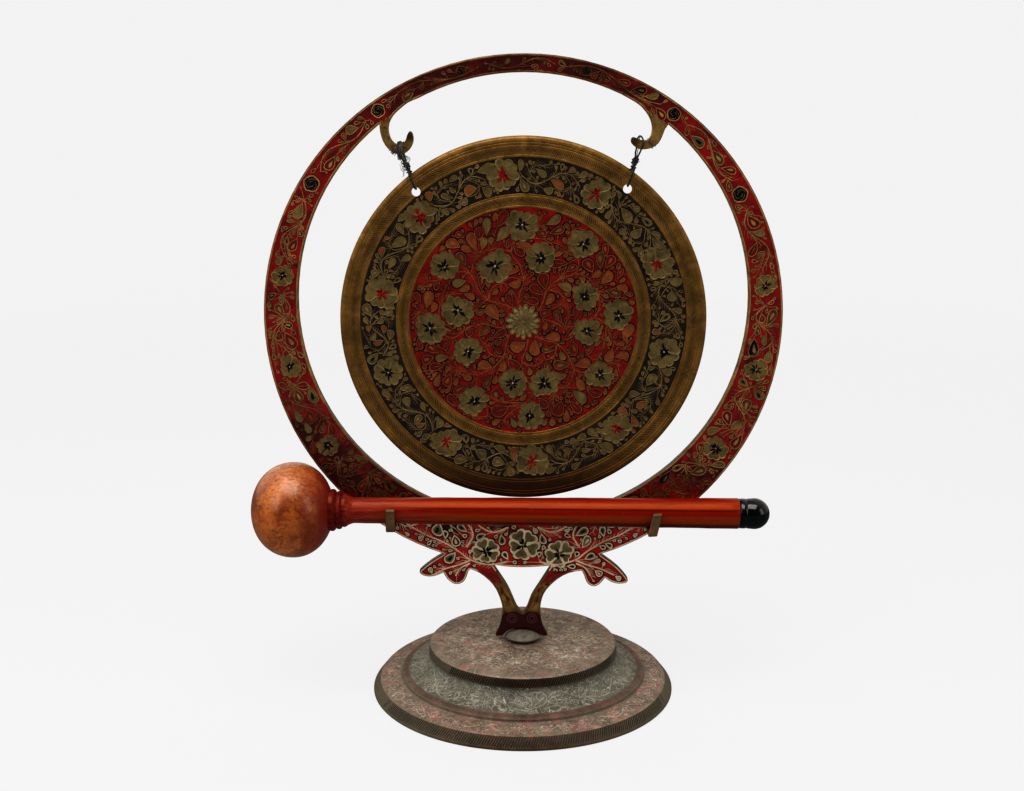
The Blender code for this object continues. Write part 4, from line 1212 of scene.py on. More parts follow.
BASE_FACE = [(3.4, 23.3), (20.0, 23.3), (39.8, 23.3), (41.8, 23.25), (43.4, 23.08), (44.6, 22.75),
             (45.2, 22.15), (45.8, 18.25), (45.77, 17.95), (45.65, 17.6), (45.65, 17.2), (45.72, 16.7),
             (46.1, 15.6), (46.9, 14.2), (48.2, 12.8), (50.3, 11.35), (53.0, 10.4), (55.6, 9.95),
             (56.0, 9.7), (57.6, 9.6), (58.6, 9.3), (59.2, 8.6), (59.4, 7.6), (59.8, 7.1), (62.0, 6.8),
             (66.0, 6.2), (68.8, 5.7), (69.5, 5.4), (72.6, 1.5), (72.9, 0.9), (72.9, 0.3), (72.6, 0.0)]
BASE_WALL = 1.6
HATCH_HIGH, HATCH_LOW = (6, 7), (27, 28)  # rows of BASE_FACE that bound each ornament
COVE_ROWS, FLANGE_ROWS = (11, 17), (23, 26)


class Profile:
    """A stretch of the base's face that ornament is laid on."""

    def __init__(self, rows, radius):
        first, last = rows
        self.rows = np.array(BASE_FACE[first:last + 1])
        steps = np.linalg.norm(np.diff(self.rows, axis=0), axis=1)
        self.run = np.concatenate([[0], np.cumsum(steps)])
        self.length = self.run[-1]
        self.radius = radius

    def __call__(self, points):
        """(arc length at its radius, way along the profile, height) to the row frame."""
        p = np.asarray(points, float)
        at = np.clip(p[:, 1], 0.0, self.length)
        ahead = np.clip(at + 0.3, 0.3, self.length)
        behind = ahead - 0.6
        r = np.interp(at, self.run, self.rows[:, 0])
        z = np.interp(at, self.run, self.rows[:, 1])
        dr = np.interp(ahead, self.run, self.rows[:, 0]) - np.interp(behind, self.run, self.rows[:, 0])
        dz = np.interp(ahead, self.run, self.rows[:, 1]) - np.interp(behind, self.run, self.rows[:, 1])
        size = np.maximum(np.hypot(dr, dz), 1e-9)
        r = r - dz / size * p[:, 2]
        z = z + dr / size * p[:, 2]
        a = p[:, 0] / self.radius
        return np.stack([BASE_X + r * np.cos(a), r * np.sin(a), z], 1)


def on_base_top(points):
    """Flat coordinates from the base's axis to the row frame, heights up."""
    p = np.asarray(points, float)
    return np.stack([BASE_X + p[:, 0], p[:, 1], BASE_TOP + p[:, 2]], 1)


def make_base(looks):
    """The stepped foot, spun from sheet, open below."""
    top, hatch, cove, flange, under, riser = range(6)
    face = np.array(BASE_FACE)
    way = np.gradient(face, axis=0)
    way /= np.linalg.norm(way, axis=1)[:, None]
    inner = face - np.stack([-way[:, 1], way[:, 0]], 1) * BASE_WALL
    inner[0] = (3.4, 23.3 - BASE_WALL)
    inner = inner[:-3]
    inner = np.vstack([inner, (71.3, 0.0)])
    rows = np.vstack([face, inner[::-1]])
    marks = []
    for k in range(len(face) - 1):
        marks.append(top if k < 6 else hatch if k < 8 else cove if k < 17 else riser if k < 22
                     else flange if k < 27 else hatch)
    marks += [under] * (len(rows) - len(marks))

    points, faces, slots = lathe(rows, marks, 240, lambda p: p + (BASE_X, 0, 0), closed=True)
    return make_piece("base_body", points, faces, slots, looks, "stand",
                      ("base_shell",), 28.0)


def scribble(relief, u, v, length, slot):
    """A short bent scratch, rubbed bright."""
    angle, bend = rng.uniform(0, TAU), rng.uniform(-0.5, 0.5) * length
    t = np.linspace(-0.5, 0.5, 5)
    path = np.stack([t * length, bend * t ** 2 * 2], 1)
    width = rng.uniform(0.28, 0.65) * np.array([0.3, 0.9, 1, 0.9, 0.3])
    ribbon(relief, turned(path, u, v, angle), width, 0.05, slot)


def make_base_ornament(looks):
    """Engraved scrolls and hatched edges of the base."""
    pale, black, light, ground, dark = range(5)
    slant = 1.9
    relief = Relief(on_base_top)
    for profile, count, width, worn in ((Profile(HATCH_HIGH, 45.0), 232, 0.8, (0.78, 0.90)),
                                        (Profile(HATCH_LOW, 71.5), 372, 0.82, (0.88, 0.94))):
        relief.place = profile
        for k in range(count):
            u = TAU * profile.radius * k / count + rng.uniform(-0.07, 0.07)
            low, high = profile.length * 0.03, profile.length * rng.uniform(0.93, 0.98)
            side = math.cos(u / profile.radius)
            if abs(side) > worn[side > 0] + rng.uniform(-0.05, 0.05):
                continue
            a, b = np.array([u + slant / 2, low]), np.array([u - slant / 2, high])
            way = np.linspace(0, 1, 4)[:, None]
            ribbon(relief, a + (b - a) * way, width * np.array([0.75, 1, 1, 0.75]), 0.03, black)
    cove = Profile(COVE_ROWS, 52.0)
    relief.place = cove
    units = 16
    pitch = TAU * cove.radius / units
    for k in range(units):
        u = k * pitch
        flip = 1 if k % 2 else -1
        mid = cove.length * 0.52
        path = [(u + pitch * t, mid + (9.0 * t - 4.5) * flip + rng.uniform(-0.9, 0.9))
                for t in (0.0, 0.25, 0.5, 0.75, 1.0)]
        vine(relief, smooth_line(path, 4), 0.55, 0.12, pale)
        for at, rise, size, turns, start in ((0.45, 3.2, 4.2, 1.3, -1.2), (0.6, -3.4, 3.8, -1.2, 1.9)):
            curl = spiral(u + pitch * (at + rng.uniform(-0.1, 0.1)), mid + rise * flip,
                          size * rng.uniform(0.6, 1.1), 0.6, turns * flip, start * flip)
            curl += 0.35 * np.sin(np.linspace(0, rng.uniform(5, 9), len(curl)))[:, None]
            vine(relief, curl, 0.5, 0.12, pale)
        for _ in range(7):
            x, y = u + rng.uniform(0, pitch), rng.uniform(2.0, cove.length - 2.0)
            way, bow = rng.uniform(0, TAU), rng.uniform(-2.6, 2.6)
            t = np.linspace(-0.5, 0.5, 9)
            length = rng.uniform(3.0, 8.0)
            wisp = turned(np.stack([length * t, bow * np.cos(t * 3) + 0.5 * np.sin(t * 9)], 1), x, y, way)
            if (abs(wisp[:, 1] - cove.length / 2) < cove.length / 2 - 0.7).all():
                ribbon(relief, wisp, 0.42 * np.cos(t * 2.4) * rng.uniform(0.6, 1.3), 0.08, pale)
    spots = np.array([(rng.uniform(0, TAU * cove.radius), rng.uniform(1.0, cove.length - 1.2))
                      for _ in range(5200)])
    sprout(relief, spots, ((4.6, 500), (3.2, 500), (2.2, 400)),
           [(ground, None)], lambda circles: all(0.4 < v < cove.length - 0.4 for _, v, _ in circles),
           gap=0.35, reach=7.0, stalk=pale, rim=0.3)
    flange = Profile(FLANGE_ROWS, 65.0)
    relief.place = flange
    units = 44
    pitch = TAU * flange.radius / units
    for k in range(units):
        u = k * pitch + rng.uniform(-0.6, 0.6)
        flip = 1 if k % 2 else -1
        mid = flange.length * 0.5
        curl = spiral(u, mid + 0.6 * flip, 2.4, 0.6, 1.3 * flip, 1.5 - flip)
        ribbon(relief, curl, 0.3, 0.07, light)
        wave = smooth_line([(u, mid - 2.0 * flip), (u + pitch * 0.4, mid - 0.8 * flip),
                            (u + pitch * 0.8, mid + 2.2 * flip)], 4)
        ribbon(relief, wave, 0.3, 0.07, light)
    for k in range(700):
        u, v = rng.uniform(0, TAU * flange.radius), rng.uniform(0.8, flange.length - 0.8)
        scribble(relief, u, v, rng.uniform(0.8, 2.4), light if k % 3 else dark)
    relief.place = on_base_top
    for k in range(1100):
        u, v = polar(37.0 * math.sqrt(rng.uniform(0.06, 1)), rng.uniform(0, 360))
        scribble(relief, u, v, rng.uniform(0.8, 2.8), light if k % 3 else dark)
    for radius, units in ((16.5, 9), (26.5, 14), (35.0, 20)):
        for k in range(units):
            a = TAU * k / units + rng.uniform(-0.06, 0.06)
            flip = 1 if k % 2 else -1
            u, v = radius * math.cos(a), radius * math.sin(a)
            curl = spiral(u, v, 4.0, 0.8, 1.35 * flip, a + rng.uniform(0, 3))
            ribbon(relief, curl, 0.3, 0.06, light)
            for swing in (-0.5, 0.1, 0.6):
                way = a + swing + rng.uniform(-0.2, 0.2)
                tip = (u + 5.4 * math.cos(way), v + 5.4 * math.sin(way))
                if math.hypot(*tip) < 39.5:
                    drop(relief, *tip, way + math.pi, rng.uniform(2.6, 4.0), rng.uniform(1.4, 2.0),
                         light, rim=0.26, height=0.07)
    return relief.build("base_ornament", looks, "stand", "dull_brass")


# --------------------------------------------------------------- the beater

HEAD = centre("beater_head")
KNOB = centre("beater_knob")
STICK_WAY = (KNOB - HEAD) / np.linalg.norm(KNOB - HEAD)
SHAFT_END = 209.6  # from the head's centre along the stick
NECK_R, END_R = 6.05, 7.2  # the stick's radii behind the collar and before the knob


def on_stick(points):
    """(across, up, along) round the stick's axis to the row frame."""
    p = np.asarray(points, float)
    up = np.cross(STICK_WAY, (0, 1, 0))
    up /= np.linalg.norm(up)
    side = np.cross(up, STICK_WAY)
    return HEAD + p[:, :1] * side + p[:, 1:2] * up + p[:, 2:3] * STICK_WAY


def along_stick(x):
    """How far from the head's centre the stick's axis reaches a place across."""
    return float(np.dot((x - HEAD[0], 0, KNOB[2] - HEAD[2]), STICK_WAY))


def beater_piece(name, rows, steps, mat, node, smooth):
    """A piece of the beater turned round the stick's axis."""
    points, faces, marks = lathe(rows, [0] * len(rows), steps, on_stick)
    make_piece(name, points, faces, marks, [mat], "beater", (node,), smooth)


def make_beater(head_mat, shaft_mat, knob_mat):
    """Ball head, turned collar, tapering stick and black knob."""
    low, high = corners("beater_head")
    half, radius = (high - low)[0] / 2, (high - low)[1] / 2
    ball = [(0.0, -half)]
    for i in range(1, 32):
        a = math.pi * i / 32
        squeeze = 1 + 0.012 * math.sin(3 * a + 0.6)
        ball.append((radius * math.sin(a) ** 0.96 * squeeze / 1.012, -half * math.cos(a)))
    ball.append((0.0, half))
    beater_piece("beater_ball", ball, 64, head_mat, "beater_head", 60.0)

    start = half - 4.0
    end = min(along_stick(corners("beater_shaft")[1][0]), SHAFT_END)
    collar = [(r, start + step) for r, step in (
        (0.0, 0.0), (9.3, 0.0), (9.9, 3.4), (9.85, 4.2), (9.3, 4.9), (8.7, 5.1), (8.5, 5.5), (8.9, 6.0),
        (9.0, 7.2), (8.5, 7.9), (7.9, 8.1), (7.8, 8.5), (8.0, 9.1), (7.7, 10.1), (7.1, 10.7),
        (6.7, 11.6), (6.3, 12.6), (NECK_R, 13.6))]
    stick = []
    first = start + 15.0
    for i in range(40):
        t = i / 39
        r = NECK_R + (END_R - NECK_R) * t + 0.05 * math.sin(i * 0.9) + 0.03 * math.sin(i * 2.3)
        stick.append((r, first + (end - 0.4 - first) * t))
    rows = collar + stick + [(6.9, end), (0.0, end)]
    beater_piece("beater_stick", rows, 48, shaft_mat, "beater_shaft", 40.0)

    low, high = corners("beater_knob")
    tip, bulge = along_stick(high[0]), (high - low)[2] / 2
    neck = end + 0.3
    rows = [(r, neck + step) for r, step in ((0.0, 0.0), (6.7, 0.0), (7.0, 0.3), (7.05, 2.6), (6.8, 3.0),
                                             (6.75, 3.3), (7.0, 3.8))]
    for i in range(15):
        a = math.radians(82 * i / 14)
        step = tip - bulge + bulge * math.sin(a) / math.sin(math.radians(82))
        if step > neck + 4.0:
            rows.append((bulge * math.cos(a), step))
    rows.append((0.0, tip))
    beater_piece("beater_tip", rows, 48, knob_mat, "beater_knob", 45.0)


# ----------------------------------------------------------------- the ties

def strand(relief, path, radius, sides=4, closed=False):
    """A round strand along a path in the row frame."""
    path = np.asarray(path, float)
    rings = []
    normal = None
    count = len(path)
    for i in range(count):
        if closed:
            way = path[(i + 1) % count] - path[i - 1]
        else:
            way = path[min(i + 1, count - 1)] - path[max(i - 1, 0)]
        way = way / max(np.linalg.norm(way), 1e-9)
        if normal is None:
            normal = np.cross(way, (0.3, 0.2, 0.9))
        normal = normal - way * np.dot(normal, way)
        normal /= np.linalg.norm(normal)
        side = np.cross(way, normal)
        turn = np.arange(sides) * TAU / sides
        rings.append(path[i] + radius * (np.cos(turn)[:, None] * normal + np.sin(turn)[:, None] * side))
    relief.solid(rings, [0] * (count + 1), closed)


def twisted(relief, path, radius, plies, pitch):
    """Several fine plies wound round one another along a path."""
    path = np.asarray(path, float)
    run = np.concatenate([[0], np.cumsum(np.linalg.norm(np.diff(path, axis=0), axis=1))])
    count = max(8, int(run[-1] / 0.28))
    t = np.linspace(0, run[-1], count)
    line = np.stack([np.interp(t, run, path[:, k]) for k in range(3)], 1)
    way = np.gradient(line, axis=0)
    way /= np.linalg.norm(way, axis=1)[:, None]
    normal = np.cross(way, (0.2, 0.9, 0.1))
    normal /= np.maximum(np.linalg.norm(normal, axis=1), 1e-9)[:, None]
    side = np.cross(way, normal)
    for ply in range(plies):
        a = TAU * (t / pitch + ply / plies)
        ring = line + radius * 0.5 * (np.cos(a)[:, None] * normal + np.sin(a)[:, None] * side)
        strand(relief, ring, radius * 0.52, 5)


def tie_line(hook, hole, share, x=0.0, y=0.0):
    """A point beside the straight line from the hole's top to the hook."""
    low = hole + (0, 0, HOLE_R - 0.9)
    return low + (hook - low) * share * (1, 0, 1) + (x, y - low[1], 0)


def jitter():
    """A small random shift of a cord's point."""
    return np.array([rng.uniform(-0.12, 0.12), rng.uniform(-0.08, 0.08), 0.0])


def tie_loop(hook, hole, side, width, x=0.0):
    """One turn of cord over the hook, past both faces, through the hole."""
    front = [(0.90, -3.0), (0.82, -2.7), (0.74, -2.0), (0.66, -1.5), (0.55, -1.5), (0.49, -2.3),
             (0.42, -3.6), (0.25, -4.1), (0.08, -3.2), (0.01, -1.7)]
    back = [(0.01, 1.2), (0.07, 3.6), (0.25, 5.0), (0.43, 4.9), (0.50, 2.9), (0.56, 1.5), (0.66, 1.5),
            (0.74, 2.0), (0.82, 2.7), (0.90, 3.0)]
    points = []
    for way, line in ((1, front), (-1, back)):
        for share, y in line:
            lean = way * width * max(share - 0.6, 0) * 2.5
            points.append(tie_line(hook, hole, share, x + lean * side, y) + jitter())
    reach = 3.42 if side < 0 else 3.87
    for degrees in (12, 36, 60, 90, 120, 144, 168):
        a = math.radians(degrees)
        points.append(hook + (x - width * math.cos(a) * side, reach * math.cos(a), reach * math.sin(a)))
    points.append(points[0])
    return smooth_line(points, 3)


def wound_thread(relief, middle, along, spread, loops, near, low):
    """Loose turns of thread round a hook's bar, no two alike; near and low are their reach."""
    up = np.array([-along[2], 0, along[0]])
    for _ in range(loops):
        a = np.linspace(0, TAU, 15)[:-1] + rng.uniform(0, TAU)
        y = rng.uniform(near, near + 0.5) * np.cos(a)
        z = np.where(np.sin(a) > 0, rng.uniform(near, near + 0.45), rng.uniform(*low)) * np.sin(a)
        x = rng.uniform(-spread, spread) + rng.uniform(-0.9, 0.9) * np.sin(a + rng.uniform(0, TAU))
        ring = middle + along * x[:, None] + up * z[:, None] + np.array([0, 1, 0]) * y[:, None]
        strand(relief, smooth_line(ring, 2, closed=True), rng.uniform(0.09, 0.14), closed=True)


def make_ties(cord, thread):
    """Black cords through the gong's holes, and grey thread round the hooks."""
    for name, side, hole, width in (("left", -1, LEFT_HOLE, 1.0), ("right", 1, RIGHT_HOLE, 1.3)):
        hook = joint_place(name + "_tie_swing")
        relief = Relief(np.asarray)
        twisted(relief, tie_loop(hook, hole, side, width), 0.42, 3, 2.0)
        twisted(relief, tie_loop(hook, hole, side, width * 0.5, 0.4 * side), 0.22, 2, 1.4)
        for first, last, turns, reach, radius in ((0.56, 0.67, 4.6, 1.25, 0.32),
                                                  (0.38, 0.60, 3.4, 1.15, 0.26),
                                                  (0.44, 0.72, 2.7, 0.95, 0.24)):
            a = np.linspace(0, turns * TAU, 60)
            knot = [tie_line(hook, hole, first + (last - first) * k / 60,
                             reach * math.cos(q) * (1 + 0.2 * math.sin(q * 0.37)),
                             (reach + 1.2) * math.sin(q)) for k, q in enumerate(a)]
            twisted(relief, knot, radius, 2, 1.6)
        for k in range(9 if side < 0 else 5):
            start = tie_line(hook, hole, rng.uniform(0.42, 0.66), rng.uniform(-0.8, 0.8),
                             rng.uniform(-2.6, -1.6))
            way = np.array([rng.uniform(-1.8, 1.8), rng.uniform(-0.8, 0.3), rng.uniform(-2.4, 0.8)])
            hair = smooth_line([start, start + way * 0.5 + (0.4, -0.3, 0), start + way,
                                start + way * 1.4 + (rng.uniform(-0.6, 0.6), 0, -0.4)], 4)
            strand(relief, hair, 0.09)
        relief.build(name + "_cord", [cord], name + "_tie", "black_cord", name + "_tie_cord",
                     name + "_tie_knot", smooth=60.0)

    for name, slope, shift, drop_by, loops, spread in (
            ("left", math.atan2(-0.69, 0.72), 2.6, 0.2, 8, 0.9),
            ("right", math.atan2(0.5, 0.86), 0.0, 0.0, 3, 1.1)):
        low, high = corners(name + "_hook_thread")
        along = np.array([math.cos(slope), 0, math.sin(slope)])
        relief = Relief(np.asarray)
        middle = (low + high) / 2 + along * shift - (0, 0, drop_by)
        wound_thread(relief, middle, along, spread, loops, 2.2, (2.3, 2.6))
        relief.build(name + "_thread", [thread], "stand", "grey_thread", name + "_hook_thread",
                     smooth=60.0)

    hook = joint_place("left_tie_swing")
    frayed = Relief(np.asarray)
    wound_thread(frayed, hook, np.array([1.0, 0, 0]), 1.2, 24, 3.05, (3.1, 5.0))
    for k in range(6):
        x = rng.uniform(-0.8, 0.8)
        start = tie_line(hook, LEFT_HOLE, rng.uniform(0.72, 0.88), x, rng.uniform(-3.4, -2.8))
        path = [start]
        for step in range(5):
            drift = np.array([rng.uniform(-0.7, 0.8), rng.uniform(-0.35, 0.1), rng.uniform(-2.2, -1.0)])
            path.append(path[-1] + drift)
        strand(frayed, smooth_line(path, 4), 0.09)
    for k in range(5):
        u, fall = rng.uniform(1.6, 3.6), rng.uniform(2.6, 4.6)
        start = tie_line(hook, LEFT_HOLE, rng.uniform(0.82, 0.92), 0.6, -2.4)
        ring = [start + (u * math.sin(q) ** 2 * (1.2 - 0.2 * q), 0.4 * math.cos(q),
                         -fall * (1 - math.cos(q)) * 0.5)
                for q in np.linspace(0.0, rng.uniform(2.2, 3.0), 12)]
        strand(frayed, smooth_line(ring, 2), 0.08)
    frayed.build("left_frayed_thread", [thread], "left_tie", "grey_thread", smooth=60.0)


# ---------------------------------------------------------- all the pieces

plate_mat = plate_look()
tan_rim = metal_look("tan_rim", (0.44, 0.29, 0.12), (0.22, 0.12, 0.05), (0.06, 0.03, 0.015),
                     (0.4, 0.65), 0.5, metallic=0.35)
# Rims brightened low down, partly painted light.
bright_rim = metal_look("bright_rim", (0.78, 0.68, 0.50), (0.52, 0.41, 0.26), (0.16, 0.08, 0.05),
                        (0.45, 0.7), 0.3, metallic=0.05)
# Rims darkened as painted shade.
shaded_rim = metal_look("shaded_rim", (0.30, 0.16, 0.07), (0.11, 0.045, 0.02), (0.05, 0.02, 0.012),
                      (0.4, 0.65), 0.6, metallic=0.4)
light_olive = enamel_look("light_olive", (0.26, 0.21, 0.10), (0.11, 0.09, 0.045), (0.50, 0.42, 0.28),
                          fleck_amount=0.2)
olive = enamel_look("olive_enamel", (0.19, 0.145, 0.05), (0.075, 0.058, 0.024), (0.38, 0.29, 0.14))
black = enamel_look("black_enamel", (0.010, 0.010, 0.012), (0.005, 0.005, 0.006), (0.10, 0.07, 0.04),
                    fleck_amount=0.05)
pale = enamel_look("pale_enamel", (0.50, 0.44, 0.35), (0.26, 0.22, 0.16), (0.6, 0.55, 0.45))
umber = enamel_look("umber_enamel", (0.13, 0.055, 0.02), (0.05, 0.02, 0.01), (0.35, 0.2, 0.09))
orange = enamel_look("orange_enamel", (0.26, 0.085, 0.022), (0.13, 0.038, 0.011), (0.45, 0.25, 0.1))
ground_red = enamel_look("medallion_ground", (0.27, 0.007, 0.004), (0.10, 0.004, 0.003), (0.40, 0.17, 0.09),
                         fleck_amount=0.2)
leaf_red = enamel_look("leaf_red", (0.17, 0.012, 0.006), (0.075, 0.008, 0.004), (0.35, 0.18, 0.09))
leaf_rim = metal_look("leaf_rim", (0.34, 0.13, 0.05), (0.19, 0.055, 0.022), (0.05, 0.015, 0.008),
                      (0.35, 0.6), 0.5, metallic=0.3)
rosette = enamel_look("rosette_enamel", (0.30, 0.24, 0.11), (0.16, 0.12, 0.05), (0.5, 0.45, 0.3))
red = enamel_look("red_enamel", RED, RED_DEEP, (0.42, 0.2, 0.1), fleck_amount=0.1)
ring_pink = enamel_look("ring_pink", (0.26, 0.10, 0.10), (0.12, 0.04, 0.05), (0.4, 0.25, 0.25))
ground_black = enamel_look("border_ground", (0.034, 0.022, 0.014), (0.016, 0.010, 0.008),
                           (0.14, 0.09, 0.04), fleck_amount=0.12)
# Painted shade darkens its lower part.
gong_brass = metal_look("gong_brass", (0.38, 0.22, 0.068), (0.20, 0.115, 0.034), BRASS_DIRT_AND_SHADE,
                        (0.46, 0.66), 0.45, metallic=0.75, dim_below=0.122)
gong_rim = metal_look("gong_rim", (0.27, 0.20, 0.09), (0.14, 0.10, 0.045), (0.05, 0.03, 0.015),
                      (0.4, 0.65), 0.5, metallic=0.4)
border_rim = metal_look("border_rim", (0.34, 0.25, 0.12), (0.18, 0.125, 0.055), (0.05, 0.03, 0.015),
                        (0.4, 0.65), 0.45, metallic=0.5)
border_leaf = enamel_look("border_leaf", (0.17, 0.125, 0.042), (0.075, 0.055, 0.02), (0.36, 0.27, 0.12))
gong_back = metal_look("gong_back", (0.48, 0.33, 0.12), (0.25, 0.16, 0.055), BRASS_DIRT_AND_SHADE, (0.3, 0.6), 0.6)
cut_dirt = enamel_look("cut_dirt", (0.045, 0.028, 0.012), (0.02, 0.013, 0.007), (0.2, 0.13, 0.05))
dust = base_look("base_top_dust", (0.31, 0.255, 0.205), (0.58, 0.52, 0.45), (0.44, 0.11, 0.10), 0.09,
                 swirls=0.45)
band = base_look("base_band", (0.125, 0.083, 0.046), (0.25, 0.175, 0.105), (0.20, 0.07, 0.05), 0.0)
cove = base_look("base_cove", (0.19, 0.185, 0.155), (0.48, 0.48, 0.43), (0.33, 0.10, 0.10), -0.02,
                 swirls=0.85)
riser = base_look("base_riser", (0.19, 0.135, 0.11), (0.34, 0.27, 0.22), (0.28, 0.08, 0.07), 0.08)
flange = base_look("base_flange", (0.29, 0.235, 0.19), (0.58, 0.51, 0.44), (0.44, 0.11, 0.10), 0.12,
                   swirls=0.4)
under = metal_look("base_under", (0.28, 0.22, 0.13), (0.14, 0.10, 0.06), (0.05, 0.04, 0.03),
                   (0.5, 0.8), 0.7, metallic=0.5)
scroll = base_look("base_scroll", (0.40, 0.40, 0.355), (0.66, 0.66, 0.60), (0.4, 0.2, 0.18),
                   -0.05, 0.1)
dull_scroll = base_look("base_dull_scroll", (0.60, 0.54, 0.46), (0.88, 0.83, 0.75),
                        (0.5, 0.15, 0.14), 0.05, 0.1)
scratch = base_look("base_scratch", (0.16, 0.115, 0.085), (0.26, 0.20, 0.15), (0.25, 0.07, 0.06), 0.05)
steel = metal_look("foot_steel", (0.42, 0.41, 0.39), (0.24, 0.23, 0.22), (0.10, 0.08, 0.06),
                   (0.4, 0.7), 0.5)
strap = metal_look("strap_brass", (0.31, 0.21, 0.11), (0.17, 0.11, 0.055), (0.08, 0.05, 0.025), (0.4, 0.65),
                   metallic=0.6)
foot = metal_look("foot_grey", (0.28, 0.26, 0.225), (0.16, 0.145, 0.125), (0.05, 0.035, 0.03),
                  (0.55, 0.8), 0.4, metallic=0.2)

for node, mat in (("ring_frame", plate_mat), ("foot_flange", foot), ("stand_stud", steel),
                  ("base_washer", steel), ("base_nut", steel), ("left_beater_rest", strap),
                  ("right_beater_rest", strap)):
    mesh = frame["nodes"][node].data
    mesh.materials.clear()
    mesh.materials.append(mat)

make_plate_ornament([tan_rim, olive, black, pale, umber, bright_rim, shaded_rim, light_olive, leaf_red,
                     ring_pink])
make_gong_plate([ground_red, gong_brass, ground_black, gong_back])
make_medallion([gong_rim, olive, black, pale, rosette, orange, umber, leaf_rim, leaf_red])
make_border([border_rim, olive, black, pale, orange, red, border_leaf])
make_hatching([cut_dirt])
make_base([dust, band, cove, flange, under, riser])
make_base_ornament([scroll, black, dull_scroll, cove, scratch])
make_beater(head_look(), shaft_look(), knob_look())
make_ties(fibre_look("cord_fibre", (0.010, 0.010, 0.011), (0.085, 0.08, 0.08)),
          fibre_look("thread_fibre", (0.055, 0.045, 0.04), (0.24, 0.21, 0.20)))


# --------------------------------------------------- floor, light and camera

def make_floor():
    """A wide pale floor with a faint shadow that gives way to the backdrop."""
    bpy.ops.mesh.primitive_plane_add(size=12.0, location=(0, 0, -0.0002))
    floor = bpy.context.active_object
    floor.name = "studio_floor"
    look = Look("studio_white")
    links = look.tree.links
    diffuse = look.node("ShaderNodeBsdfDiffuse")
    diffuse.inputs["Color"].default_value = (0.065, 0.070, 0.077, 1)
    glow = look.node("ShaderNodeEmission")
    path = look.node("ShaderNodeLightPath")
    strength = by_ray(look.tree.nodes, links, path, seen=0.578, lit=0.45, mirrored=0.05)
    links.new(strength, glow.inputs["Strength"])
    both = look.node("ShaderNodeAddShader")
    links.new(diffuse.outputs[0], both.inputs[0])
    links.new(glow.outputs[0], both.inputs[1])
    clear = look.node("ShaderNodeBsdfTransparent")
    fade = look.node("ShaderNodeMixShader")
    far = look.times(look.ramp(look.distance(0.0, None, 0.0), 0.25, 1.3),
                     path.outputs["Is Camera Ray"])
    links.new(far, fade.inputs[0])
    links.new(both.outputs[0], fade.inputs[1])
    links.new(clear.outputs[0], fade.inputs[2])
    out = next(n for n in look.tree.nodes if n.type == "OUTPUT_MATERIAL")
    links.new(fade.outputs[0], out.inputs["Surface"])
    floor.data.materials.append(look.mat)


def by_ray(nodes, links, path, seen, lit, mirrored):
    """A strength of its own for camera rays, for mirrored rays and for the rest."""
    value = lit
    for ray, level in (("Is Glossy Ray", mirrored), ("Is Camera Ray", seen)):
        choose = nodes.new("ShaderNodeMix")
        choose.data_type = "FLOAT"
        links.new(path.outputs[ray], choose.inputs["Factor"])
        for socket, part in ((choose.inputs["A"], value), (choose.inputs["B"], level)):
            if isinstance(part, float):
                socket.default_value = part
            else:
                links.new(part, socket)
        value = choose.outputs["Result"]
    return value


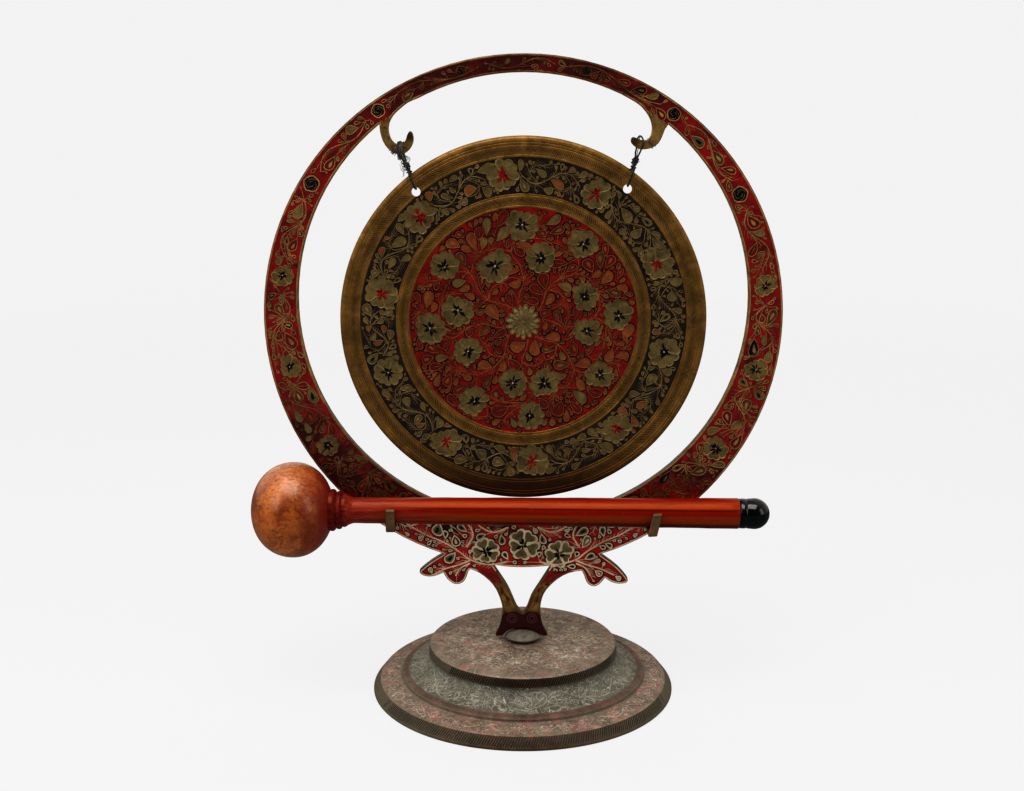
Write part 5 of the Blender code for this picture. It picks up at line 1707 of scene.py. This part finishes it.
def make_world():
    """Even pale backdrop; what polished faces mirror in front is dimmer."""
    world = bpy.data.worlds.new("studio")
    bpy.context.scene.world = world
    world.use_nodes = True
    nodes, links = world.node_tree.nodes, world.node_tree.links
    back = nodes["Background"]
    path = nodes.new("ShaderNodeLightPath")
    place = nodes.new("ShaderNodeTexCoord")
    split = nodes.new("ShaderNodeSeparateXYZ")
    links.new(place.outputs["Generated"], split.inputs[0])

    def span(axis, low, high, start, end):
        """A strength that changes along one axis of the view direction."""
        node = nodes.new("ShaderNodeMapRange")
        for key, number in zip(("From Min", "From Max", "To Min", "To Max"), (low, high, start, end)):
            node.inputs[key].default_value = number
        links.new(split.outputs[axis], node.inputs["Value"])
        return node.outputs["Result"]

    lit = span("Y", -0.6, 0.6, 0.16, 0.6)
    mirrored = span("Y", -0.7, 0.2, 0.015, 0.55)
    links.new(by_ray(nodes, links, path, seen=0.632, lit=lit, mirrored=mirrored), back.inputs["Strength"])
    tint = nodes.new("ShaderNodeMix")
    tint.data_type = "RGBA"
    links.new(path.outputs["Is Camera Ray"], tint.inputs["Factor"])
    tint.inputs[MIX_A].default_value = (1.0, 0.93, 0.84, 1)
    tint.inputs[MIX_B].default_value = (1.0, 1.0, 1.0, 1)
    links.new(tint.outputs[MIX_OUT], back.inputs["Color"])


def add_light(name, place, target, size, power):
    """A soft, slightly warm panel facing its target."""
    light = bpy.data.lights.new(name, "AREA")
    light.shape = "RECTANGLE"
    light.size, light.size_y = size
    light.energy = power
    light.color = (1.0, 0.94, 0.86)
    obj = bpy.data.objects.new(name, light)
    obj.location = place
    obj.rotation_euler = (Vector(target) - Vector(place)).to_track_quat("-Z", "Y").to_euler()
    bpy.context.scene.collection.objects.link(obj)


CAMERA_PLACE = (-0.0016, -0.6589, 0.2949)
CAMERA_PITCH = 12.79  # degrees down from level


def make_camera():
    """The photograph's viewpoint, as a 50 mm lens on a 36 mm sensor."""
    camera = bpy.data.cameras.new("camera")
    camera.lens = 50.5
    camera.sensor_width = 36.0
    camera.clip_start = 0.01
    obj = bpy.data.objects.new("camera", camera)
    obj.location = CAMERA_PLACE
    obj.rotation_euler = (math.radians(90 - CAMERA_PITCH), 0, 0)
    bpy.context.scene.collection.objects.link(obj)
    bpy.context.scene.camera = obj


make_floor()
make_world()
add_light("overhead", (-0.15, -0.35, 1.25), (0, 0, 0.12), (1.1, 0.8), 11.0)
add_light("left_front", (-0.95, -0.75, 0.75), (0, 0, 0.14), (0.6, 0.8), 3.5)
add_light("right_front", (1.0, -0.6, 0.55), (0, 0, 0.14), (0.5, 0.8), 2.0)
make_camera()
bpy.context.scene.view_settings.view_transform = "Standard"
bpy.context.scene.view_settings.look = "High Contrast"
